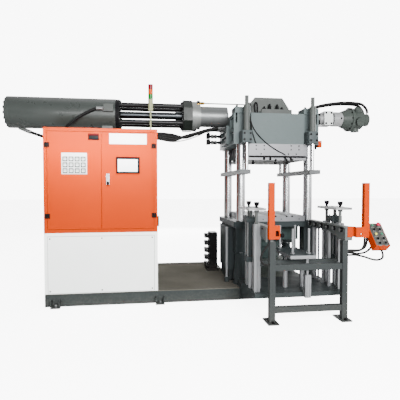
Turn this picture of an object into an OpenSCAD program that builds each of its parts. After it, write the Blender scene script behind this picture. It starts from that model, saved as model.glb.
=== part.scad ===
// Horizontal rubber injection moulding machine: control cabinet and power unit on a long bed,
// a four-column press, an injection unit lying across the top and a mould slide-out station.
// Frame: +X along the bed from cabinet to press, +Y to the back, +Z up, in millimetres.
// The origin is on the floor, on the vertical axis of the press.

/* [Bed] */
// Height of the bed, deck plate included
bed_h = 145; // [120:5:180]
// Distance from the press axis to the front of the bed
bed_front = 596; // [580:1:640]
// Distance from the press axis to the back of the bed
bed_back = 1050; // [1000:10:1100]
// Thickness of the deck plate
deck_t = 8; // [5:1:12]
// Anchor bolt hole diameter in the lugs
anchor_hole_d = 22; // [18:1:26]

/* [Cabinet] */
// Width of the cabinet and of the power unit under it
cabinet_w = 1250; // [1150:10:1350]
// Distance from the press axis to the cabinet's right side
cabinet_right = 1464; // [1420:1:1520]
// Height of the white power unit
power_h = 680; // [640:5:720]
// Height of the orange control cabinet
cabinet_h = 1171; // [1120:1:1190]
// Depth of the control cabinet
cabinet_d = 420; // [380:5:440]
// Wall of the control cabinet
cabinet_wall = 4; // [3:1:6]
// Width of the front frame round the doors
door_border = 38; // [36:1:44]
// Thickness of a door
door_t = 20; // [16:1:26]
// Gap round each door
door_gap = 4; // [3:0.5:5]

/* [Press] */
// Diameter of a column
column_d = 110; // [100:1:120]
// Column spacing along the machine
column_dx = 868; // [840:2:900]
// Column spacing front to back
column_dy = 752; // [720:2:780]
// Height of the press base
base_h = 145; // [130:5:160]
// Width of the press base
base_w = 1000; // [980:5:1030]
// Depth of the press base
base_d = 1120; // [1090:5:1150]
// Height of the underside of the upper beam
beam_bottom = 1864; // [1850:1:1880]
// Height of the upper beam
beam_h = 372; // [340:2:400]
// Width of the upper beam
beam_w = 1080; // [1050:5:1110]
// Depth of the upper beam
beam_d = 980; // [960:5:1000]
// Height of the lower heating plate's top, press open
platen_top = 988; // [970:1:1000]
// Running clearance of guide bores round the columns
guide_clear = 1; // [0.5:0.1:2]

/* [Injection unit] */
// Height of the injection axis
axis_z = 2258; // [2240:1:2270]
// Diameter of the injection cylinder
cylinder_d = 384; // [370:2:390]
// Length of the injection cylinder tube
cylinder_l = 1230; // [1180:5:1260]
// Diameter of a tie rod
tie_rod_d = 62; // [54:1:68]
// Length of the tie rods between cylinder flange and barrel head
tie_rod_l = 800; // [760:5:840]
// Diameter of the barrel
barrel_d = 266; // [250:2:280]
// Length of the barrel from the beam's side to the barrel head
barrel_l = 357; // [330:1:380]
// Diameter of the plunger rod
plunger_d = 90; // [80:1:96]

/* [Slide-out station] */
// Distance from the press axis to the front of the station's legs
station_front = 1450; // [1430:5:1480]
// Spacing of the leg centres
leg_dx = 752; // [740:2:760]
// Side of a square leg
leg_w = 58; // [54:1:64]
// Height of the roller rails' top
rail_top = 946; // [936:1:956]
// Height of a roller rail
rail_h = 141; // [132:1:150]
// Diameter of a roller
roller_d = 46; // [40:1:50]

/* [Hidden] */
eps = 0.01;

orange = [0.93, 0.36, 0.14];
grey = [0.45, 0.48, 0.48];
dark_grey = [0.3, 0.33, 0.33];
pale_grey = [0.78, 0.79, 0.8];
black = [0.08, 0.08, 0.09];
white = [0.92, 0.93, 0.92];
steel = [0.82, 0.83, 0.84];

// Places along the machine
cabinet_left_x = -cabinet_right - cabinet_w;
cabinet_right_x = -cabinet_right;
power_top = bed_h + power_h;
cabinet_top = power_top + cabinet_h;
cabinet_front_y = -bed_front;
beam_top = beam_bottom + beam_h;
$fn = 48;

module box_at(low, high) {
  translate(low) cube(high - low);
}

module rod_x(d, x0, x1, y = 0, z = 0) {
  translate([x0, y, z]) rotate([0, 90, 0]) cylinder(d = d, h = x1 - x0);
}

module rod_y(d, y0, y1, x = 0, z = 0) {
  translate([x, y1, z]) rotate([90, 0, 0]) cylinder(d = d, h = y1 - y0);
}

module rod_z(d, z0, z1, x = 0, y = 0) {
  translate([x, y, z0]) cylinder(d = d, h = z1 - z0);
}

module at_columns() {
  for (sx = [-1, 1], sy = [-1, 1])
    translate([sx * column_dx / 2, sy * column_dy / 2, 0]) children();
}

// Bed and press base

module deck_plate() {
  color(dark_grey)
    box_at([cabinet_left_x, -bed_front, bed_h - deck_t], [-base_w / 2, bed_back, bed_h]);
}

lug_w = 100;
lug_d = 80;
lug_h = 82;
lug_wall = 10;
lug_inset = 125;
lug_xs = [cabinet_left_x + lug_inset, cabinet_right_x + lug_w / 4];

module anchor_lug() {
  difference() {
    box_at([-lug_w / 2, -lug_d, 0], [lug_w / 2, 0, lug_h]);
    box_at([-lug_w / 2 + lug_wall, -lug_d - eps, 1.5 * lug_wall],
      [lug_w / 2 - lug_wall, 0, lug_h + eps]);
    translate([0, -lug_d / 2, -eps]) cylinder(d = anchor_hole_d, h = lug_h);
  }
}

module base_bed() {
  color(grey) {
    box_at([cabinet_left_x, -bed_front, 0], [-base_w / 2, bed_back, bed_h - deck_t]);
    for (x = lug_xs) {
      translate([x, -bed_front, 0]) anchor_lug();
      translate([x, bed_back, 0]) rotate([0, 0, 180]) anchor_lug();
    }
  }
}

module press_base() {
  color(dark_grey)
    box_at([-base_w / 2, -base_d / 2, 0], [base_w / 2, base_d / 2, base_h]);
}

shelf_t = 45;
shelf_top = 250;
shelf_front = station_front - 185;
riser_t = 30;

module station_shelf() {
  color(dark_grey) {
    box_at([-base_w / 2, -shelf_front, shelf_top - shelf_t], [base_w / 2, -base_d / 2, shelf_top]);
    box_at([-base_w / 2, -base_d / 2 - riser_t, 0], [base_w / 2, -base_d / 2, shelf_top]);
    for (s = [-1, 1]) translate([s * (base_w / 2 - riser_t), 0, 0]) rotate([90, 0, -90])
      linear_extrude(riser_t, center = true) polygon([
        [base_d / 2, 0], [base_d / 2, shelf_top], [shelf_front, shelf_top],
        [shelf_front, shelf_top - shelf_t], [base_d / 2 + riser_t, 0]]);
  }
}

// Power unit and control cabinet

power_d = 1450;
panel_t = 6;
panel_margin = 40;

module power_unit_housing() {
  color(white)
    box_at([cabinet_left_x, cabinet_front_y, bed_h],
      [cabinet_right_x, cabinet_front_y + power_d, power_top]);
}

module power_unit_panel() {
  color(white)
    box_at([cabinet_left_x + panel_margin, cabinet_front_y - panel_t, bed_h + panel_margin / 4],
      [cabinet_right_x - panel_margin, cabinet_front_y, power_top - panel_margin]);
}

cabinet_back_y = cabinet_front_y + cabinet_d;
door_low_z = power_top + door_border;
door_high_z = cabinet_top - door_border;
door_left_x = cabinet_left_x + door_border;
door_right_x = cabinet_right_x - door_border;
door_seam_x = (door_left_x + door_right_x) / 2;

module control_cabinet() {
  color(orange) difference() {
    box_at([cabinet_left_x, cabinet_front_y, power_top],
      [cabinet_right_x, cabinet_back_y, cabinet_top]);
    box_at([cabinet_left_x + cabinet_wall, cabinet_front_y + door_t + cabinet_wall, power_top + cabinet_wall],
      [cabinet_right_x - cabinet_wall, cabinet_back_y - cabinet_wall, cabinet_top - cabinet_wall]);
    box_at([door_left_x, cabinet_front_y - eps, door_low_z],
      [door_right_x, cabinet_front_y + door_t + 2 * cabinet_wall, door_high_z]);
  }
}

mounting_margin = 50;
mounting_t = 12;

module mounting_plate() {
  color(steel)
    box_at([cabinet_left_x + mounting_margin, cabinet_back_y - cabinet_wall - mounting_t,
        power_top + mounting_margin],
      [cabinet_right_x - mounting_margin, cabinet_back_y - cabinet_wall, cabinet_top - mounting_margin]);
}

// Doors and hinges: each hinge has a leaf and knuckle on the frame, with the pin, and one on the door

hinge_h = 54;
hinge_leaf_w = 27;
hinge_leaf_t = 5;
knuckle_d = 14;
hinge_pin_d = 6;
pin_clear = 0.1;
hinge_y = cabinet_front_y - knuckle_d / 2 - 1;
hinge_inset = 180;
hinge_zs = [door_low_z + hinge_inset - hinge_h, door_high_z - hinge_inset];
left_hinge_x = door_left_x + door_gap / 2;
right_hinge_x = door_right_x - door_gap / 2;
handle_x = door_seam_x + 72;

// Leaf on the +X side of the axis, with its knuckle from low_z up
module hinge_half(low_z) {
  difference() {
    union() {
      box_at([knuckle_d / 2 + 1, 1 + knuckle_d / 2 - hinge_leaf_t, 0],
        [hinge_leaf_w, 1 + knuckle_d / 2, hinge_h]);
      box_at([0, 1 + knuckle_d / 2 - hinge_leaf_t, low_z],
        [hinge_leaf_w, 1 + knuckle_d / 2 - 1, low_z + hinge_h / 2 - 0.5]);
      rod_z(knuckle_d, low_z, low_z + hinge_h / 2 - 0.5);
    }
    rod_z(hinge_pin_d + 2 * pin_clear, -eps, hinge_h + eps);
  }
}

module frame_hinge() {
  mirror([1, 0, 0]) hinge_half(0);
  rod_z(hinge_pin_d + 2 * pin_clear, 0, hinge_h / 2 - 0.5);
  rod_z(hinge_pin_d, 0, hinge_h);
}

module cabinet_hinges() {
  color(black) for (z = hinge_zs) {
    translate([left_hinge_x, hinge_y, z]) frame_hinge();
    translate([right_hinge_x, hinge_y, z]) mirror([1, 0, 0]) frame_hinge();
  }
}

module left_door_hinges() {
  color(black) for (z = hinge_zs)
    translate([left_hinge_x, hinge_y, z]) hinge_half(hinge_h / 2 + 0.5);
}

module right_door_hinges() {
  color(black) for (z = hinge_zs)
    translate([right_hinge_x, hinge_y, z]) mirror([1, 0, 0]) hinge_half(hinge_h / 2 + 0.5);
}

module door_panel(x0, x1) {
  box_at([x0, cabinet_front_y, door_low_z + door_gap],
    [x1, cabinet_front_y + door_t, door_high_z - door_gap]);
}

module left_door() {
  color(orange) door_panel(door_left_x + door_gap, door_seam_x - door_gap / 2);
}

module right_door() {
  color(orange) door_panel(door_seam_x + door_gap / 2, door_right_x - door_gap);
}

controller_plate_w = 274;
controller_plate_h = 237;
controller_plate_t = 3;
controller_plate_x = (door_left_x + door_seam_x) / 2;
controller_drop_z = 396;
controller_plate_z = cabinet_top - controller_drop_z;
controller_w = 52;
controller_pitch = 65;
controller_t = 9;
controller_drop = 15;

module temperature_panel() {
  color(white) {
    box_at([controller_plate_x - controller_plate_w / 2, cabinet_front_y - controller_plate_t,
        controller_plate_z - controller_plate_h / 2],
      [controller_plate_x + controller_plate_w / 2, cabinet_front_y,
        controller_plate_z + controller_plate_h / 2]);
    for (column = [-1.5:1.5], row = [-1:1])
      translate([controller_plate_x + column * controller_pitch, cabinet_front_y - controller_plate_t,
          controller_plate_z - controller_drop + row * controller_pitch])
        box_at([-controller_w / 2, -controller_t, -controller_w / 2],
          [controller_w / 2, eps, controller_w / 2]);
  }
}

screen_w = 262;
screen_h = 184;
screen_t = 14;
screen_bezel = 16;
screen_x = (door_seam_x + door_right_x) / 2;
screen_drop_z = 411;
screen_z = cabinet_top - screen_drop_z;

module touch_screen() {
  color(black) difference() {
    box_at([screen_x - screen_w / 2, cabinet_front_y - screen_t, screen_z - screen_h / 2],
      [screen_x + screen_w / 2, cabinet_front_y, screen_z + screen_h / 2]);
    box_at([screen_x - screen_w / 2 + screen_bezel, cabinet_front_y - screen_t - eps,
        screen_z - screen_h / 2 + screen_bezel],
      [screen_x + screen_w / 2 - screen_bezel, cabinet_front_y - screen_t + 3,
        screen_z + screen_h / 2 - screen_bezel]);
  }
}

handle_drop_z = 570;
handle_z = cabinet_top - handle_drop_z;
handle_h = 126;
handle_w = 36;
handle_t = 22;

module door_handle() {
  color(steel) difference() {
    box_at([handle_x - handle_w / 2, cabinet_front_y - handle_t, handle_z - handle_h / 2],
      [handle_x + handle_w / 2, cabinet_front_y, handle_z + handle_h / 2]);
    box_at([handle_x - handle_w / 2 - eps, cabinet_front_y - handle_t / 2, handle_z - handle_h / 4],
      [handle_x + handle_w / 2 + eps, cabinet_front_y - handle_t / 4, handle_z + handle_h / 3]);
  }
}

// Signal tower

signal_x = cabinet_right_x - 73;
signal_y = cabinet_front_y + 146;
signal_d = 56;
pole_d = 17;
signal_base_z = cabinet_top + 236;
signal_tier_h = 58;
signal_base_h = 131;

signal_top = signal_base_z + signal_base_h + 3 * signal_tier_h;
tier_groove = 2;

module signal_tower() {
  color([0.9, 0.87, 0.78]) {
    rod_z(3 * pole_d, cabinet_top, cabinet_top + 10, signal_x, signal_y);
    rod_z(pole_d, cabinet_top, signal_base_z, signal_x, signal_y);
    rod_z(signal_d, signal_base_z, signal_base_z + signal_base_h, signal_x, signal_y);
    for (i = [0:2]) rod_z(signal_d, signal_base_z + signal_base_h + i * signal_tier_h + tier_groove,
      signal_base_z + signal_base_h + (i + 1) * signal_tier_h, signal_x, signal_y);
    rod_z(signal_d - 3 * tier_groove, signal_base_z, signal_top, signal_x, signal_y);
  }
}

// Press columns, upper beam and what it carries

module columns() {
  color(steel) at_columns() rod_z(column_d, base_h, beam_bottom);
}

foot_top = 480;
foot_flange_d = 196;
foot_flange_h = 30;
foot_bell_d = 184;
foot_skirt_h = 64;
foot_neck_d = 128;

// Feet that clamp the columns to the base: a flange and a bell that narrows to the column
module column_feet() {
  bore_r = column_d / 2 + guide_clear;
  bell_h = foot_top - base_h;
  color(dark_grey) at_columns() translate([0, 0, base_h]) rotate_extrude() polygon([
    [bore_r, 0], [foot_flange_d / 2, 0], [foot_flange_d / 2, foot_flange_h], [foot_bell_d / 2, foot_flange_h],
    [foot_bell_d / 2, foot_skirt_h], [foot_neck_d / 2, bell_h], [bore_r, bell_h]]);
}

cap_w = 190;
cap_h = 72;
ear_w = 205;
ear_setback = 36;
pocket_depth = 90;
pocket_wall = 42;
pocket_rib_z = 170;
ear_slot_w = 22;
ear_slot_h = 118;
ear_slot_depth = 60;
ear_slot_inset = 22;

// One pocket in the beam's +X, +Y end, between z0 and z1 above the beam's underside
module beam_pocket(z0, z1) {
  box_at([beam_w / 2 - pocket_depth, bracket_w / 2 + pocket_wall, beam_bottom + z0],
    [beam_w / 2 + 1, beam_d / 2 - ear_setback - pocket_wall, beam_bottom + z1]);
}

// Cast beam: full depth in the middle, set back at the ears, with ribbed pockets in both ends
module upper_beam() {
  slot_x = beam_w / 2 - ear_slot_inset;
  color(grey) difference() {
    union() {
      box_at([-beam_w / 2, -beam_d / 2 + ear_setback, beam_bottom],
        [beam_w / 2, beam_d / 2 - ear_setback, beam_top]);
      box_at([-beam_w / 2 + ear_w, -beam_d / 2, beam_bottom], [beam_w / 2 - ear_w, beam_d / 2, beam_top]);
      at_columns() translate([0, 0, beam_top + cap_h / 2 - eps]) cube([cap_w, cap_w, cap_h], center = true);
    }
    for (mx = [0, 1]) mirror([mx, 0, 0]) {
      for (my = [0, 1]) mirror([0, my, 0]) {
        beam_pocket(pocket_wall, pocket_rib_z - pocket_wall / 2);
        beam_pocket(pocket_rib_z + pocket_wall / 2, beam_h - pocket_wall);
      }
      box_at([slot_x - ear_slot_w, -beam_d / 2, beam_top - ear_slot_h],
        [slot_x, -beam_d / 2 + ear_setback + ear_slot_depth, beam_top + 1]);
    }
  }
}

crown_left = 239;
crown_right = 274;
crown_h = 270;
crown_wall = 30;
crown_front = 130;
crown_back = 200;
crown_lip = 40;
crown_left_chamfer = [53, 62];
crown_right_chamfer = [91, 135];
lip_h = 46;
ledge_x = -130;
ledge_h = 100;

// One cheek of the crown: a plate with a small chamfer on the left and a long one on the right
module crown_cheek() {
  rotate([90, 0, 0]) linear_extrude(crown_wall) polygon([
    [-crown_left, 0], [crown_right, 0], [crown_right, crown_h - crown_right_chamfer[1]],
    [crown_right - crown_right_chamfer[0], crown_h], [-crown_left + crown_left_chamfer[0], crown_h],
    [-crown_left, crown_h - crown_left_chamfer[1]]]);
}

// Open crown on the beam: two cheeks, a left end wall, a base lip and a low ledge along the front
module crown_box() {
  front_y = -crown_back - crown_lip;
  color(grey) translate([0, 0, beam_top]) {
    for (y = [-crown_front + crown_wall, crown_back]) translate([0, y, 0]) crown_cheek();
    box_at([-crown_left, -crown_front, 0],
      [-crown_left + crown_wall, crown_back, crown_h - crown_left_chamfer[1]]);
    box_at([-crown_left, front_y, 0], [crown_right, -front_y, lip_h]);
    box_at([ledge_x, front_y, 0], [crown_right, front_y + crown_wall, ledge_h]);
  }
}

heating_plate_w = 756;
heating_plate_h = 148;
upper_plate_gap = 6;

module upper_heating_plate() {
  color(pale_grey)
    box_at([-heating_plate_w / 2, -beam_d / 2, beam_bottom - heating_plate_h],
      [heating_plate_w / 2, beam_d / 2, beam_bottom]);
}

mould_plate_h = 48;
mould_plate_w = 730;
mould_plate_d = beam_d - 20;
layer_t = 10;
layer_inset = 16;
slot_w = 22;
slot_h = 18;
slot_xs = [-90, -20, 120, 190];

module t_slots(z0, z1) {
  for (x = slot_xs) box_at([x - slot_w / 2, -beam_d, z0], [x + slot_w / 2, beam_d, z1]);
}

upper_mould_z = beam_bottom - heating_plate_h - mould_plate_h;

// Plate with slots across its underside, held off the heating plate by a narrower insulating layer
module upper_mould_plate() {
  plate_top = beam_bottom - heating_plate_h;
  color(pale_grey) difference() {
    union() {
      box_at([-mould_plate_w / 2, -mould_plate_d / 2, upper_mould_z],
        [mould_plate_w / 2, mould_plate_d / 2, plate_top - layer_t]);
      box_at([-mould_plate_w / 2 + layer_inset, -mould_plate_d / 2 + layer_inset, upper_mould_z],
        [mould_plate_w / 2 - layer_inset, mould_plate_d / 2 - layer_inset, plate_top]);
    }
    t_slots(upper_mould_z - eps, upper_mould_z + slot_h);
  }
}

// Mould-plate lifts: four fixed cylinders on the beam, and two bars guided on the columns

lift_rod_d = 46;
lift_x = 410;
lift_y = 566;
lift_block_w = 126;
lift_block_d = 130;
lift_block_h = 146;
lift_sleeve_d = 74;
lift_sleeve_h = 300;
lift_stub_h = 110;
lift_bar_w = 132;
lift_bar_h = 50;
lift_bar_z = 1497;
lift_bar_d = 1200;
lift_drop = 300;
lift_rise = 40;
lift_bore_clear = 0.3;
lift_rod_top = beam_bottom + lift_drop + 60;

module at_lifts() {
  for (sx = [-1, 1], sy = [-1, 1]) translate([sx * lift_x, sy * lift_y, 0])
    rotate([0, 0, sy < 0 ? 0 : 180]) children();
}

module lift_cylinder() {
  block_back = lift_y - beam_d / 2 + ear_setback;
  difference() {
    union() {
      box_at([-lift_block_w / 2, block_back - lift_block_d, beam_bottom],
        [lift_block_w / 2, block_back, beam_bottom + lift_block_h]);
      rod_z(lift_sleeve_d, beam_bottom, beam_bottom + lift_block_h + lift_sleeve_h);
      rod_z(lift_rod_d, beam_bottom, beam_bottom + lift_block_h + lift_sleeve_h + lift_stub_h);
    }
    rod_z(lift_rod_d + 2 * lift_bore_clear, 0, lift_rod_top + lift_rise + 10);
  }
}

module lift_cylinders() {
  color(grey) at_lifts() lift_cylinder();
}

module lift_bar(side) {
  x = side * column_dx / 2;
  difference() {
    box_at([x - lift_bar_w / 2, -lift_bar_d / 2, lift_bar_z],
      [x + lift_bar_w / 2, lift_bar_d / 2, lift_bar_z + lift_bar_h]);
    at_columns() rod_z(column_d + 2 * guide_clear, lift_bar_z - 1, lift_bar_z + lift_bar_h + 1);
  }
  for (sy = [-1, 1]) rod_z(lift_rod_d, lift_bar_z + lift_bar_h, lift_rod_top, side * lift_x, sy * lift_y);
}

module lift_bars() {
  color(pale_grey) { lift_bar(-1); lift_bar(1); }
}

// Lower platen, ram and main cylinder

platen_w = 1080;
platen_d = 940;
platen_h = 70;
lower_plate_w = 710;
lower_plate_h = 71;
platen_stroke = 450;
guide_block_w = 150;
guide_block_h = 312;
ram_d = 340;
ram_block_w = 700;
ram_block_d = 560;
ram_block_h = 183;
ram_flange_d = 440;
ram_flange_h = 92;
main_cylinder_d = 470;
main_cylinder_h = 260;
ram_clear = 0.5;
platen_low = platen_top - lower_plate_h - platen_h;

module main_cylinder() {
  color(grey) difference() {
    rod_z(main_cylinder_d, base_h, base_h + main_cylinder_h);
    rod_z(ram_d + 2 * ram_clear, base_h + 15, base_h + main_cylinder_h + 1);
  }
}

module main_ram() {
  color([0.32, 0.38, 0.4]) {
    box_at([-ram_block_w / 2, -ram_block_d / 2, platen_low - ram_block_h],
      [ram_block_w / 2, ram_block_d / 2, platen_low]);
    rod_z(ram_flange_d, platen_low - ram_block_h - ram_flange_h, platen_low - ram_block_h);
    rod_z(ram_d, base_h + 20, platen_low - ram_block_h);
  }
}

module moving_platen() {
  color(grey) difference() {
    union() {
      box_at([-platen_w / 2, -platen_d / 2, platen_low], [platen_w / 2, platen_d / 2, platen_low + platen_h]);
      at_columns() translate([-guide_block_w / 2, -guide_block_w / 2, platen_low - guide_block_h])
        cube([guide_block_w, guide_block_w, guide_block_h + eps]);
    }
    at_columns() rod_z(column_d + 2 * guide_clear, platen_low - guide_block_h - 1, platen_low + platen_h + 1);
  }
}

module lower_heating_plate() {
  color(pale_grey) difference() {
    box_at([-lower_plate_w / 2, -beam_d / 2, platen_top - lower_plate_h],
      [lower_plate_w / 2, beam_d / 2, platen_top]);
    t_slots(platen_top - slot_h, platen_top + eps);
  }
}

// Injection unit, along X on the injection axis

beam_left_x = -beam_w / 2;
barrel_x0 = beam_left_x - barrel_l;
head_l = 223;
head_d = 382;
head_x0 = barrel_x0 - head_l;
flange_l = 46;
flange_x1 = head_x0 - tie_rod_l;
flange_x0 = flange_x1 - flange_l;
cylinder_x0 = flange_x0 - cylinder_l;
cap_l = 62;
tie_rod_y = 112;
tie_rod_z = 104;

module at_axis() {
  translate([0, 0, axis_z]) children();
}

plunger_stroke = 550;
plunger_clear = 0.5;
plunger_engaged = 60;
plunger_x0 = flange_x1 - flange_l - plunger_engaged;
tip_d = 70;
tip_x1 = head_x0 + plunger_stroke - 20;

module plunger_bore(d, x0, x1) {
  rod_x(d + 2 * plunger_clear, x0, x1);
}

module injection_cylinder() {
  color(dark_grey) at_axis() difference() {
    rod_x(cylinder_d, cylinder_x0, flange_x0);
    plunger_bore(plunger_d, plunger_x0 - plunger_stroke - 20, flange_x0 + 1);
  }
}

cap_bolts = 16;
cap_bolt_d = 30;
cap_bolt_h = 14;
cap_boss_d = 150;

module cylinder_end_cap() {
  color(dark_grey) at_axis() {
    rod_x(cylinder_d, cylinder_x0 - cap_l, cylinder_x0);
    rod_x(cap_boss_d, cylinder_x0 - cap_l - cap_bolt_h, cylinder_x0);
    for (i = [0:cap_bolts - 1]) rotate([360 * (i + 0.5) / cap_bolts, 0, 0])
      rod_x(cap_bolt_d, cylinder_x0 - cap_l - cap_bolt_h, cylinder_x0 - cap_l / 2, 0, cylinder_d * 0.43);
  }
}

module cylinder_flange() {
  color(black) at_axis() difference() {
    rod_x(cylinder_d - 6, flange_x0, flange_x1);
    plunger_bore(plunger_d, flange_x0 - 1, flange_x1 + 1);
  }
}

module injection_tie_rods() {
  color(black) at_axis() for (sy = [-1, 1], sz = [-1, 1])
    rod_x(tie_rod_d, flange_x1, head_x0, sy * tie_rod_y, sz * tie_rod_z);
}

coupling_d = 118;
coupling_l = 90;

module injection_plunger() {
  color(steel) at_axis() {
    rod_x(plunger_d, plunger_x0, head_x0 - coupling_l / 2);
    rod_x(coupling_d, head_x0 - coupling_l - 5, head_x0 - 5);
    rod_x(tip_d, head_x0 - coupling_l, tip_x1);
  }
}

ring_l = 60;
groove_l = 49;
groove_d = 330;

module barrel_head() {
  color(grey) at_axis() difference() {
    union() {
      rotate([0, 90, 0]) translate([0, 0, head_x0]) rotate([0, 0, 22.5])
        cylinder(d = head_d / cos(22.5), h = head_l - ring_l - groove_l, $fn = 8);
      rod_x(head_d, head_x0 + head_l - ring_l - groove_l, head_x0 + head_l - groove_l);
      rod_x(groove_d, head_x0 + head_l - groove_l, head_x0 + head_l);
    }
    plunger_bore(tip_d, head_x0 - 1, barrel_x0 + 1);
  }
}

module injection_barrel() {
  color(pale_grey) at_axis() difference() {
    rod_x(barrel_d, barrel_x0, beam_left_x);
    plunger_bore(tip_d, barrel_x0 - 1, tip_x1 + 10);
  }
}

bracket_plate_t = 40;
bracket_w = 420;
bracket_z0 = beam_bottom + 20;
bracket_under = 5;
bracket_z1 = axis_z - barrel_d / 2 - bracket_under;
bracket_recess = 28;
bracket_recess_zs = [[46, 98], [122, 174]];
bracket_recess_ys = [-190, 150];
bracket_x0 = beam_left_x - bracket_plate_t;

// Ribbed port block on the beam's side, under the barrel: two long recesses leave three ribs
module injection_bracket() {
  color(grey) difference() {
    box_at([bracket_x0, -bracket_w / 2, bracket_z0], [beam_left_x, bracket_w / 2, bracket_z1]);
    for (r = bracket_recess_zs)
      box_at([bracket_x0 - 1, bracket_recess_ys[0], bracket_z0 + r[0]],
        [bracket_x0 + bracket_recess, bracket_recess_ys[1], bracket_z0 + r[1]]);
  }
}

fitting_zs = [2030, 1948];
fitting_d = 34;
fitting_nut_d = 46;
fitting_nut_l = 30;
fitting_l = 150;
fitting_y = 195;

// Two pipes that leave the bracket, each with a nut at its root and an elbow to the back
module pipe_fittings() {
  x0 = bracket_x0 - fitting_l;
  color(black) for (z = fitting_zs) {
    rod_x(fitting_d, x0, bracket_x0, fitting_y, z);
    rod_x(fitting_nut_d, bracket_x0 - fitting_nut_l, bracket_x0, fitting_y, z);
    rod_x(fitting_nut_d, x0 + fitting_l / 3, x0 + fitting_l / 3 + fitting_nut_l, fitting_y, z);
    translate([x0, fitting_y, z]) sphere(d = fitting_d);
    rod_y(fitting_d, fitting_y, fitting_y + fitting_l / 2, x0, z);
  }
}

pipe_d = 16;
pipe_z = axis_z + barrel_d / 2 + 30;
pipe_y = -60;
pipe_foot_d = 26;

// Grease pipe over the barrel, from a fitting on the head's ring to the crown
module oil_pipe() {
  color(steel) {
    rod_x(pipe_d, pipe_foot_x, -crown_left, pipe_y, pipe_z);
    rod_z(pipe_foot_d, pipe_foot_z, pipe_z + pipe_foot_d / 2, pipe_foot_x, pipe_y);
  }
}

pipe_foot_x = barrel_x0 - groove_l / 2;
pipe_foot_z = axis_z + sqrt(pow(groove_d / 2, 2) - pow(abs(pipe_y) - pipe_foot_d / 2, 2)) + 0.1;

support_w = 130;
support_d = 220;
support_back = 100;
support_x = flange_x0 - support_back;

module injection_support() {
  color(grey) difference() {
    box_at([support_x - support_w / 2, -support_d / 2, power_top],
      [support_x + support_w / 2, support_d / 2, axis_z - cylinder_d / 4]);
    at_axis() rod_x(cylinder_d, support_x - support_w, support_x + support_w);
  }
}

port_w = 112;
port_h = 88;
port_d = 90;
port_gap = 20;
stub_d = 44;
stub_l = 62;
stub_end = [-3080, 0, 2048];
stub_slope = 22;

// Port block at the cylinder's front end, and a sloping stub under its back end
module port_blocks() {
  port_x = flange_x0 - port_gap;
  color(pale_grey) difference() {
    union() {
      box_at([port_x - port_w, -cylinder_d / 2 - port_d / 2, axis_z - 1],
        [port_x, -cylinder_d / 4, axis_z + port_h]);
      translate(stub_end) rotate([0, 90 + stub_slope, 0]) translate([0, 0, -stub_l])
        cylinder(d = stub_d, h = stub_l - 0.3);
    }
    at_axis() rod_x(cylinder_d, cylinder_x0, flange_x0);
  }
}

// Feed unit at the right of the beam

feed_z = axis_z + 12;
feed_block_x = beam_w / 2;
feed_block_l = 370;
feed_block_setback = 250;
feed_block_w = 186;
feed_barrel_d = 196;
feed_barrel_l = 150;
bell_l = 110;
bell_d = 300;
star_d = 320;
star_l = 150;
star_end_d = 170;
star_end_l = 100;
feed_barrel_x = feed_block_x + feed_block_l;
feed_motor_x = feed_barrel_x + feed_barrel_l;

feed_neck_d = 150;
feed_neck_l = 26;
vent_d = 30;

module feed_barrel() {
  block_x = feed_block_x + feed_block_setback;
  color(pale_grey) translate([0, 0, feed_z]) difference() {
    union() {
      rod_x(feed_neck_d, feed_block_x, feed_barrel_x + feed_neck_l);
      box_at([block_x, -feed_block_w / 2, -feed_block_w / 2],
        [feed_barrel_x, feed_block_w / 2, feed_block_w / 2]);
      rod_x(feed_barrel_d, feed_barrel_x + feed_neck_l, feed_motor_x);
    }
    rod_y(vent_d, -feed_barrel_d, 0, feed_motor_x - vent_d);
  }
}

bell_rim = 12;
bell_rim_l = 30;
star_core = 60;
star_pistons = 5;
piston_d = 110;
piston_over = 8;

// Bell housing and radial-piston motor
module feed_motor() {
  star_x = bell_l + bell_rim_l;
  color(grey) translate([feed_motor_x, 0, feed_z]) rotate([0, 90, 0]) {
    cylinder(d1 = feed_barrel_d + 16, d2 = bell_d, h = bell_l);
    translate([0, 0, bell_l]) cylinder(d = bell_d + 2 * bell_rim, h = bell_rim_l);
    translate([0, 0, star_x]) cylinder(d = star_d - star_core, h = star_l);
    for (i = [0:star_pistons - 1]) rotate([0, 0, 360 * i / star_pistons])
      translate([star_d / 4, 0, star_x + star_l / 2]) rotate([0, 90, 0])
        cylinder(d = piston_d, h = star_d / 4 + piston_over);
    translate([0, 0, star_x + star_l]) cylinder(d = star_end_d, h = star_end_l);
  }
}

// Hydraulic block beside the press, and the valve manifold on the deck behind it

oil_block_x = [-569, -378];
oil_block_y = 270;
oil_block_z = [290, 835];
oil_foot_inset = 44;
standpipe_d = 32;
standpipe_at = [-586, -278];
standpipe_base_d = 58;
standpipe_base_h = 62;
manifold_gap = 80;
manifold_w = 110;
manifold_d = 190;
manifold_h = 545;
manifold_x = -base_w / 2 - manifold_gap - manifold_w / 2;
manifold_y = column_dy / 2 + 30;
solenoid_d = 46;
solenoid_l = 90;
valve_h = 62;
valve_rows = 5;
manifold_plinth = 40;

// Oil block on a narrower foot, with a bright standpipe at its front corner
module oil_block() {
  box_at([oil_block_x[0], -oil_block_y, oil_block_z[0]], [oil_block_x[1], oil_block_y, oil_block_z[1]]);
  box_at([oil_block_x[0] + oil_foot_inset / 2, -oil_block_y + oil_foot_inset, bed_h],
    [oil_block_x[1] - oil_foot_inset / 2, oil_block_y - oil_foot_inset, oil_block_z[0]]);
  translate(standpipe_at) {
    rod_z(standpipe_base_d, bed_h, bed_h + standpipe_base_h);
    rod_z(standpipe_d, bed_h, oil_block_z[1]);
  }
}

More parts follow.
